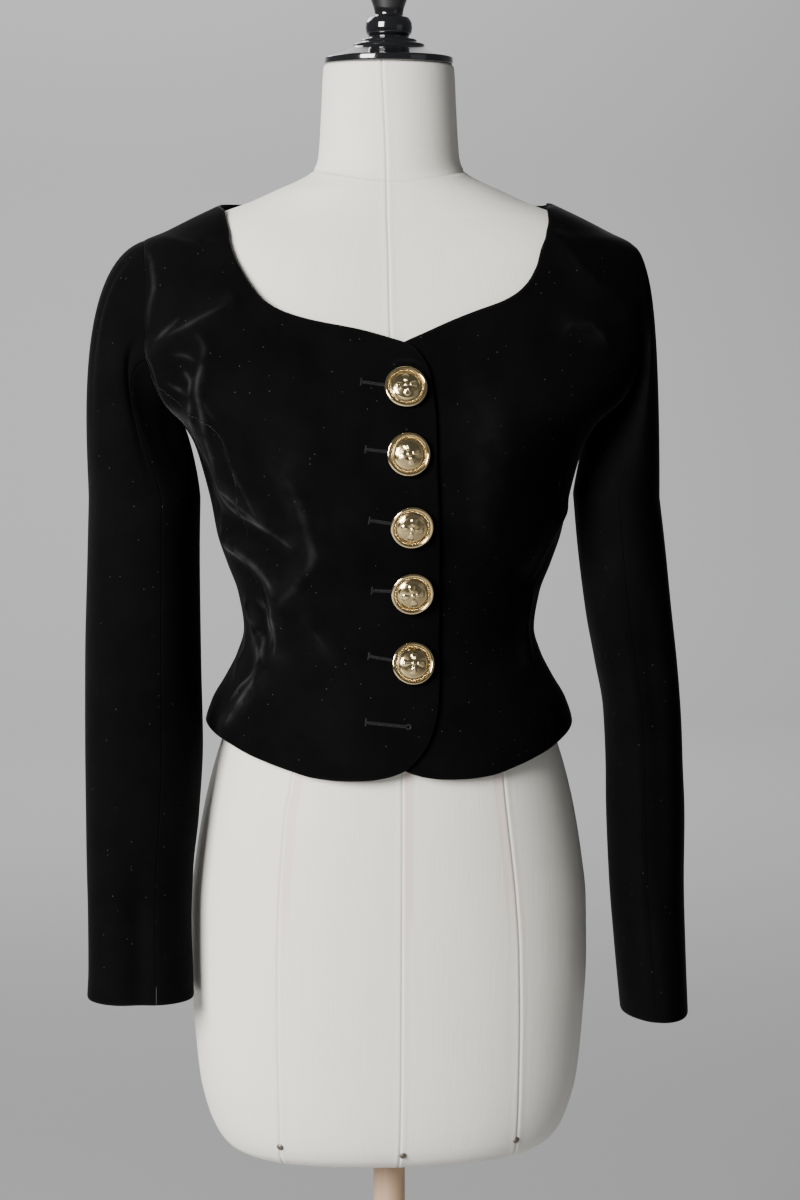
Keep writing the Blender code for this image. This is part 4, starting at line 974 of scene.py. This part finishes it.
# %% A small builder of node trees
def new_tree(name, **given):
    """A geometry tree with these inputs: the tree, its way to add a step, its inputs, its end."""
    tree = bpy.data.node_groups.new(name, "GeometryNodeTree")
    tree.interface.new_socket("Geometry", in_out="INPUT", socket_type="NodeSocketGeometry")
    tree.interface.new_socket("Geometry", in_out="OUTPUT", socket_type="NodeSocketGeometry")
    for word, kind in given.items():
        tree.interface.new_socket(word, in_out="INPUT", socket_type="NodeSocket" + kind)

    def step(kind, inputs=(), **settings):
        return wired(tree, kind, inputs, **settings).outputs[0]

    return tree, step, tree.nodes.new("NodeGroupInput").outputs, tree.nodes.new("NodeGroupOutput").inputs[0]


def baked(piece, tree, **values):
    """Runs a geometry tree on a piece with these inputs and keeps the result as its mesh."""
    modifier = piece.modifiers.new("repeat", "NODES")
    modifier.node_group = tree
    for item in tree.interface.items_tree:
        if item.in_out == "INPUT" and item.name in values:
            modifier[item.identifier] = values[item.name]
    bpy.context.view_layer.update()
    graph = bpy.context.evaluated_depsgraph_get()
    mesh = bpy.data.meshes.new_from_object(piece.evaluated_get(graph))
    piece.modifiers.clear()
    piece.data = mesh
    mesh.name = piece.name
    return piece


# %% [markdown]
# ## Buttonholes
#
# A tailored keyhole has two close rows of stitches beside the slit, a round eyelet at the
# button's shank and a bar across the other end. Each stitch is a tiny arched bar, and
# every point of its path carries the direction in which the cloth faces there.

# %% Buttonholes
Hole = namedtuple("Hole", "left_x left_z right_x right_z")
BUTTONHOLES = in_metres(Hole, 4, (
    (-33.8, 1227, 0.6, 1222.2), (-31.8, 1175, 1.2, 1170.8), (-28, 1119, 4.5, 1113.8),
    (-24, 1061.4, 6.5, 1059.5), (-26.2, 1006, 7.5, 1000), (-30, 953.6, 3, 949.8),
))
SLIT_HALF, EYELET_RADIUS, TACK_HALF = 0.0006, 0.0018, 0.0028
STITCH_LENGTH, STITCH_RISE, STITCH_PITCH, THREAD_RADIUS = 0.0014, 0.0008, 0.0007, 0.00024


def lapped_point(turn, height):
    """The outer skin of the lapping front."""
    point = broad_point(turn, height)
    return point + way_out(broad_point, turn, height) * lap_lift(point[..., 0])[..., None]


def keyhole(length):
    """The path round a slit, its sides and its eyelet, as distance along and across."""
    neck = math.asin(SLIT_HALF / EYELET_RADIUS)
    along = np.linspace(SLIT_HALF, length - EYELET_RADIUS * math.cos(neck), 24)[1:-1]
    path = [(SLIT_HALF * (1 - math.cos(a)), -SLIT_HALF * math.sin(a)) for a in np.linspace(-1.57, 1.57, 9)]
    path += [(s, -SLIT_HALF) for s in along]
    turn = np.linspace(math.pi + neck, 3 * math.pi - neck, 25)
    path += [(length + EYELET_RADIUS * math.cos(a), EYELET_RADIUS * math.sin(a)) for a in turn]
    return np.array(path + [(s, SLIT_HALF) for s in along[::-1]])


def stitch_paths():
    """Points, edges and facing directions of every keyhole and its bar, on the cloth."""
    points, edges, facing = [], [], []
    for hole in BUTTONHOLES:
        run = np.array([hole.right_x - hole.left_x, hole.right_z - hole.left_z])
        length = norm(run)
        run /= length
        tack = np.stack([np.full(9, -0.0010), np.linspace(-TACK_HALF, TACK_HALF, 9)], -1)
        for path, is_closed in ((keyhole(length), True), (tack, False)):
            x = hole.left_x + path[:, 0] * run[0] - path[:, 1] * run[1]
            z = hole.left_z + path[:, 0] * run[1] + path[:, 1] * run[0]
            turn = turn_at(JACKET, x, z)
            out = way_out(lapped_point, turn, z)
            base = sum(len(group) for group in points)
            count = len(x)
            points.append(lapped_point(turn, z) + 0.0001 * out)
            facing.append(out)
            edges += [(base + i, base + (i + 1) % count) for i in range(count if is_closed else count - 1)]
    return np.concatenate(points), edges, np.concatenate(facing)


tree, step, given, end = new_tree("worked_edge", Pitch="Float", Stitch="Float", Thread="Float")
path = step("GeometryNodeMeshToCurve", {0: given["Geometry"]})
even = step("GeometryNodeResampleCurve", {"Curve": path, "Length": given["Pitch"]}, mode="LENGTH")
half = step("ShaderNodeMath", {0: given["Stitch"], 1: 0.5}, operation="MULTIPLY")
minus = step("ShaderNodeMath", {0: half, 1: -1.0}, operation="MULTIPLY")
arc = step("GeometryNodeCurveQuadraticBezier", {
    "Resolution": 4, "Start": step("ShaderNodeCombineXYZ", {0: minus}), "Middle": (0.0, 0.0, STITCH_RISE),
    "End": step("ShaderNodeCombineXYZ", {0: half}),
})
ring = step("GeometryNodeCurvePrimitiveCircle", {"Resolution": 6, "Radius": given["Thread"]})
bar = step("GeometryNodeCurveToMesh", {0: arc, 1: ring, "Fill Caps": True})
faced = step("GeometryNodeInputNamedAttribute", {"Name": "facing"}, data_type="FLOAT_VECTOR")
upright = step("FunctionNodeAlignRotationToVector", {"Vector": faced}, axis="Z")
aim = {"Rotation": upright, "Vector": step("GeometryNodeInputTangent")}
aimed = step("FunctionNodeAlignRotationToVector", aim, axis="Y", pivot_axis="Z")
placed = step("GeometryNodeInstanceOnPoints", {"Points": even, "Instance": bar, "Rotation": aimed})
real = step("GeometryNodeRealizeInstances", {0: placed})
tree.links.new(step("GeometryNodeSetMaterial", {"Geometry": real, "Material": thread.material}), end)

points, edges, facing = stitch_paths()
mesh = bpy.data.meshes.new("buttonhole_stitches")
mesh.from_pydata(points.tolist(), edges, [])
mesh.attributes.new("facing", "FLOAT_VECTOR", "POINT").data.foreach_set("vector", facing.ravel())
stitches = new_object("buttonhole_stitches", mesh)
baked(stitches, tree, Pitch=STITCH_PITCH, Stitch=STITCH_LENGTH, Thread=THREAD_RADIUS)
stitches.data.shade_smooth()
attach(stitches, "root")
print("buttonholes:", len(BUTTONHOLES), "with", len(stitches.data.polygons), "faces of thread")

# %% [markdown]
# ## Turned pieces
#
# Buttons, neck cap, base, pole and studs are round, so each is a profile turned on a lathe.
# The tool leaves every edge slightly rounded, so each corner becomes a short curve.


# %% Lathe
def eased(profile, reach=0.0006, steps=3):
    """A profile whose inner corners are short curves."""
    profile = np.asarray(profile, float)
    points = [profile[0]]
    for before, corner, after in zip(profile[:-2], profile[1:-1], profile[2:]):
        ways = before - corner, after - corner
        start, end = (corner + unit(way) * min(reach, 0.4 * norm(way)) for way in ways)
        for t in np.linspace(0, 1, steps + 1):
            points.append((1 - t) ** 2 * start + 2 * t * (1 - t) * corner + t**2 * end)
    points.append(profile[-1])
    return np.array(points)


def divided(profile, longest):
    """A profile whose long stretches are cut into shorter ones."""
    points = [profile[:1]]
    for start, end in zip(profile[:-1], profile[1:]):
        count = max(1, math.ceil(norm(end - start) / longest))
        points.append(start + (end - start) * np.linspace(0, 1, count + 1)[1:, None])
    return np.concatenate(points)


def lathe_faces(rings, sides):
    """Faces of a closed lathe mesh: a point, so many rings of this many sides, a point."""
    last = rings * sides + 1
    here, beyond = np.arange(sides), (np.arange(sides) + 1) % sides
    faces = [(0, 1 + j, 1 + i) for i, j in zip(here, beyond)]
    for k in range(rings - 1):
        low, high = 1 + k * sides, 1 + (k + 1) * sides
        faces += [(low + i, low + j, high + j, high + i) for i, j in zip(here, beyond)]
    return faces + [(last, last - sides + i, last - sides + j) for i, j in zip(here, beyond)]


def lathed(name, profile, sides, finish, centre=(0, 0, 0), axis=(0, 0, 1), reach=0.0006, longest=0.02):
    """A turned piece that stands on centre and rises along axis, in place of its node."""
    profile = divided(eased(profile, reach), longest)
    ring = np.linspace(0, 2 * math.pi, sides, endpoint=False)
    spokes = np.stack([np.cos(ring), np.sin(ring), 0 * ring], -1)
    points = [radius * spokes + [0, 0, height] for radius, height in profile[1:-1]]
    points = [[[0, 0, profile[0, 1]]], *points, [[0, 0, profile[-1, 1]]]]
    to_axis = np.array(Vector(axis).to_track_quat("Z", "Y").to_matrix())
    points = np.concatenate(points) @ to_axis.T + np.asarray(centre)
    piece = mesh_piece("turned_" + name, points, lathe_faces(len(profile) - 2, sides), finish)
    piece.data.set_sharp_from_angle(angle=math.radians(50))
    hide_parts(name)
    return piece


# %% [markdown]
# ## Stand: base, pole, neck cap and studs

# %% Stand
SEAT_GAP = 0.0003
NECK_TOP = 1.4876
CAP_PROFILE = pairs(
    0, 0, 52.5, 0, 53.3, 1, 53.3, 5.2, 52.5, 6, 47, 7.6, 38, 10.6, 30, 13.7, 29.6, 16.8, 23.5, 17.7,
    23.1, 20.5, 16.8, 21.4, 16.6, 22.8, 18.8, 25.5, 19.5, 30, 19, 34.5, 16.6, 38.5, 12.2, 39.8,
    11.7, 41.5, 12.6, 46, 15.7, 54.5, 18.5, 64, 19.7, 74, 18.2, 84, 13, 91.5, 6.5, 95, 0, 95.8,
)
BASE_PROFILE = pairs(
    0, 0, 196, 0, 200, 3, 200, 12, 196.5, 16.5, 188, 19, 70, 25, 48, 27, 40, 33, 38.5, 42, 30, 52,
    26.5, 62, 24, 64, 0, 64,
)
NAIL_PROFILE = pairs(0, 0, 3, 0, 3, 0.6, 1.8, 1.5, 0, 1.8)
NAILS = pairs(-98.5, 596.5, 1.5, 591, 98.2, 596.5)
POLE_RADIUS = 0.0135


def form_point(turn, height):
    return body_point(FORM, turn, height)


def seated(point_of, turn, height, radius):
    """Centre and axis for a small flat-backed piece that just clears the surface under it."""
    turn, height = np.array([turn]), np.array([height])
    centre, axis = point_of(turn, height)[0], way_out(point_of, turn, height)[0]
    round_it = np.linspace(0, 2 * math.pi, 24, endpoint=False)
    reach, highest = norm(centre[:2]), 0.0
    for share in (0.5, 1.0):
        across, up = share * radius / reach * np.cos(round_it), share * radius * np.sin(round_it)
        highest = max(highest, float(((point_of(turn + across, height + up) - centre) @ axis).max()))
    return centre + axis * (highest + SEAT_GAP), axis


base_top, form_bottom = BASE_PROFILE[-1][1], FORM[0].height
pole_length = form_bottom - base_top - 2 * SEAT_GAP
pole_profile = ((0, 0), (POLE_RADIUS, 0), (POLE_RADIUS, pole_length), (0, pole_length))
lathed("base", BASE_PROFILE, 128, lacquer, reach=0.003)
lathed("pole", pole_profile, 48, wood, (0, 0, base_top + SEAT_GAP))
lathed("neck_cap", CAP_PROFILE, 96, lacquer, (0, 0, NECK_TOP + SEAT_GAP), reach=0.0011)
for number, (x, height) in enumerate(NAILS, 1):
    centre, axis = seated(form_point, turn_at(FORM, x, height), height, NAIL_PROFILE[1][0])
    lathed(f"stud_{number}", NAIL_PROFILE, 24, steel, centre, axis, reach=0.0004)

# %% [markdown]
# ## Buttons
#
# Each button is a stamped gilt shell: a rolled rim, a ring of fine beads in a groove, and
# a polished dome with a raised flower, a height worked out from radius and turn. What
# lies deep is marked, so that the gilt browns there.

# %% Buttons
Button = namedtuple("Button", "x height spin")
BUTTONS = in_metres(Button, 2, (
    (0.6, 1222.2, 4), (1.2, 1170.8, 17), (4.5, 1113.8, -9), (6.5, 1059.5, 11), (7.5, 1000, -3),
))
BUTTON_RADIUS, BEAD_RING, BEAD_HEIGHT, BEAD_COUNT, BEAD_RADIUS = 0.0176, 0.0137, 0.0031, 84, 0.00046
DOME_EDGE, GROOVE, GROOVE_DEEP, DOME_DEEP = 0.0125, (0.0119, 0.0150), 0.8, 0.35
BUTTON_PROFILE = pairs(
    0, 0, 16.2, 0, 17.6, 1.4, 17.6, 2.8, 16.6, 4, 15.2, 4, 14.3, 2.9, 12.9, 2.9, 12.2, 3.7, 9.5, 5.6,
    5, 7.1, 0, 7.6,
)


def flower(radius, turn):
    """Height of the raised flower on the dome: eight petals, their veins and a boss."""
    petal = np.clip(np.cos(4 * turn), 0, 1) ** 0.55
    reach = 0.0094 - 0.0022 * (1 - petal)
    leaf = petal * np.clip((radius - 0.0024) / 0.0012, 0, 1) * np.clip((reach - radius) / 0.0009, 0, 1)
    vein = 0.4 * bell(radius * np.sin(4 * turn) / 4, 0.00022) * leaf
    boss = np.clip((0.0019 - radius) / 0.0007, 0, 1)
    ring = bell(radius - 0.0106, 0.00028)
    return 0.00075 * (leaf - vein) + 0.00080 * boss + 0.00035 * ring


tree, step, given, end = new_tree("bead_ring", Ring="Float", Height="Float", Count="Int", Bead="Float")
circle = step("GeometryNodeCurvePrimitiveCircle", {"Resolution": given["Count"], "Radius": given["Ring"]})
lift = step("ShaderNodeCombineXYZ", {2: given["Height"]})
raised = step("GeometryNodeSetPosition", {0: circle, "Offset": lift})
bead = step("GeometryNodeMeshIcoSphere", {"Radius": given["Bead"], "Subdivisions": 2})
placed = step("GeometryNodeInstanceOnPoints", {"Points": raised, "Instance": bead})
both = wired(tree, "GeometryNodeJoinGeometry")
for shape in (step("GeometryNodeRealizeInstances", {0: placed}), given["Geometry"]):
    tree.links.new(shape, both.inputs[0])
tree.links.new(step("GeometryNodeSetMaterial", {"Geometry": both.outputs[0], "Material": gilt.material}), end)

profile = divided(eased(BUTTON_PROFILE, 0.0005), 0.0004)
sides = 128
ring = np.linspace(0, 2 * math.pi, sides, endpoint=False)
local, deep_share = [np.array([[0, 0, profile[0, 1]]])], [np.zeros(1)]
for number, (radius, height) in enumerate(profile[1:-1]):
    on_face = number > int(np.argmax(profile[:, 0])) and radius < DOME_EDGE
    relief_here = flower(radius, ring) if on_face else 0 * ring
    local.append(np.stack([radius * np.cos(ring), radius * np.sin(ring), height + relief_here], -1))
    groove = GROOVE[0] < radius < GROOVE[1] and number > 8
    low = np.clip(1 - relief_here / 0.00035, 0, 1) * np.clip((0.0108 - radius) / 0.001, 0, 1)
    deep_share.append(np.full(sides, GROOVE_DEEP) if groove else DOME_DEEP * on_face * low)
local.append(np.array([[0, 0, profile[-1, 1] + 0.0006]]))
deep_share.append(np.zeros(1))
local, deep_share = np.concatenate(local), np.concatenate(deep_share)

for number, button in enumerate(BUTTONS, 1):
    turn = turn_at(JACKET, button.x, button.height)
    centre, axis = seated(lapped_point, turn, button.height, BUTTON_RADIUS)
    faces = lathe_faces(len(profile) - 2, sides)
    piece = mesh_piece(f"gilt_button_{number}", local, faces, gilt, deep=deep_share)
    baked(piece, tree, Ring=BEAD_RING, Height=BEAD_HEIGHT, Count=BEAD_COUNT, Bead=BEAD_RADIUS)
    place = Matrix.Translation(centre) @ Vector(axis).to_track_quat("Z", "Y").to_matrix().to_4x4()
    piece.data.transform(place @ Matrix.Rotation(math.radians(button.spin), 4, "Z"))
    piece.data.shade_smooth()
    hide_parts(f"button_{number}")
    print(piece.name, len(piece.data.polygons), "faces")

# %% [markdown]
# ## The canvas form
#
# The form is covered with canvas pieces that meet in upright seams. The mesh columns bunch
# beside them, so a seam is a real fine valley between small ridges, and the tape beside
# it can be tinted. A seam also runs round the base of the neck, so rows are close there.

# %% Dress form
SEAMS = (
    ("front", pairs(-1, 574, -1, 905, -5, 1100, -9, 1266, -8, 1393, -11, 1484)),
    ("front", pairs(93, 574, 98.9, 583.6, 99.6, 690, 98.3, 760, 95.4, 802, 84.5, 902, 78, 1000,
                    88, 1160, 70, 1300, 42, 1400, 35, 1484)),
    ("side", 90),
    ("back", pairs(80, 574, 88, 800, 70, 1020, 80, 1160, 60, 1300, 36, 1400, 30, 1484)),
    ("side", 180),
    ("back", pairs(-80, 574, -88, 800, -70, 1020, -80, 1160, -60, 1300, -36, 1400, -30, 1484)),
    ("side", 270),
    ("front", pairs(-93, 574, -98.6, 590, -101.7, 737, -100.8, 787, -95, 875, -89.4, 905, -78, 1000,
                    -88, 1160, -70, 1300, -42, 1400, -35, 1484)),
)
PRINCESS, TAPED = (1, 3, 5, 7), ((0, 1), (1, -1), (7, 1))
SEAM_OFFSETS = (0.0, 0.0005, 0.0010, 0.0017, 0.0027, 0.0042, 0.0070, 0.0088, 0.0096)
SECTOR_COLUMNS = 20
RIDGE_RISE, VALLEY_DROP, NECK_VALLEY_DROP = 0.0003, 0.0005, 0.0007


def seam_turn(number, height):
    """The turn of one of the form's seams at each height, always rising with its number."""
    kind, rows = SEAMS[number]
    if kind == "side":
        return np.full(len(height), math.radians(rows))
    turn = turn_at(FORM, smooth(height, rows[:, 1], rows[:, 0]), height, kind)
    return turn if number < 2 else turn % (2 * math.pi)


def neck_seam(turn):
    """Height of the seam round the base of the neck."""
    return 1.3908 + 0.0098 * np.sin(turn) ** 2


heights = np.unique(np.concatenate([
    [row.height for row in FORM], np.arange(0.574, 0.60, 0.002), np.arange(0.60, 1.38, 0.005 * fine),
    np.arange(1.380, 1.408, 0.0007), np.arange(1.408, 1.4876, 0.004 * fine),
]).round(5))
made = []
for number in range(len(SEAMS)):
    start = seam_turn(number, heights)
    end = seam_turn((number + 1) % len(SEAMS), heights) + (2 * math.pi if number == len(SEAMS) - 1 else 0)
    for share, turn in enumerate((start, end)):
        side, reach = 1 - 2 * share, norm(form_point(turn, heights)[:, :2], axis=-1)
        seam = (number + share) % len(SEAMS)
        row = [
            (turn + side * off / reach, off, seam, (seam, side) in TAPED and 0.001 < off < 0.0092)
            for off in SEAM_OFFSETS[share:]
        ]
        if share:
            first, last = made[-1][0], row[-1][0]
            between = np.linspace(0, 1, SECTOR_COLUMNS + 2)[1:-1]
            made += [(first + (last - first) * step, 0.02, number, False) for step in between]
            row = row[::-1]
        made += row
columns, from_seam, seam_number, taped = (np.array(column) for column in zip(*made))
columns = columns.T
height = np.repeat(heights[:, None], columns.shape[1], axis=1)
point, out = form_point(columns, height), way_out(form_point, columns, height)
shown = np.where(np.isin(seam_number, PRINCESS), np.clip((1.10 - height) / 0.05, 0, 1), 1.0)
shown = np.where(np.isin(seam_number, (2, 4, 6)), 0.3, shown)
valley, ridge = bell(from_seam, 0.0007) * shown, bell(from_seam - 0.0024, 0.0014) * shown
off_neck = height - neck_seam(columns)
neck_valley, neck_ridge = bell(off_neck, 0.0009), bell(off_neck + 0.0022, 0.0016)
rise = RIDGE_RISE * (ridge + neck_ridge) - VALLEY_DROP * valley - NECK_VALLEY_DROP * neck_valley
point = point + out * rise[..., None]
tape = taped * np.clip((height - 0.76) / 0.05, 0, 1) * (height < 1.0)
stitched = np.maximum(valley * np.isin(seam_number, (0, 1, 3, 5, 7)) * 0.8, 0.6 * neck_valley)
rows, count = height.shape
index = np.arange(rows * count).reshape(rows, count)
beyond = np.roll(index, -1, axis=1)
cells = np.stack([index[:-1], beyond[:-1], beyond[1:], index[1:]], -1).reshape(-1, 4)
ends = [tuple(index[0][::-1]), tuple(index[-1])]
form = mesh_piece(
    "canvas_form", point.reshape(-1, 3), [*cells, *ends], canvas,
    flat=np.stack([columns * 0.16, height], -1).reshape(-1, 2), tape=tape.ravel(), sewn=stitched.ravel(),
)
form.data.set_sharp_from_angle(angle=math.radians(60))
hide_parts("form")
print("form:", len(form.data.polygons), "faces")
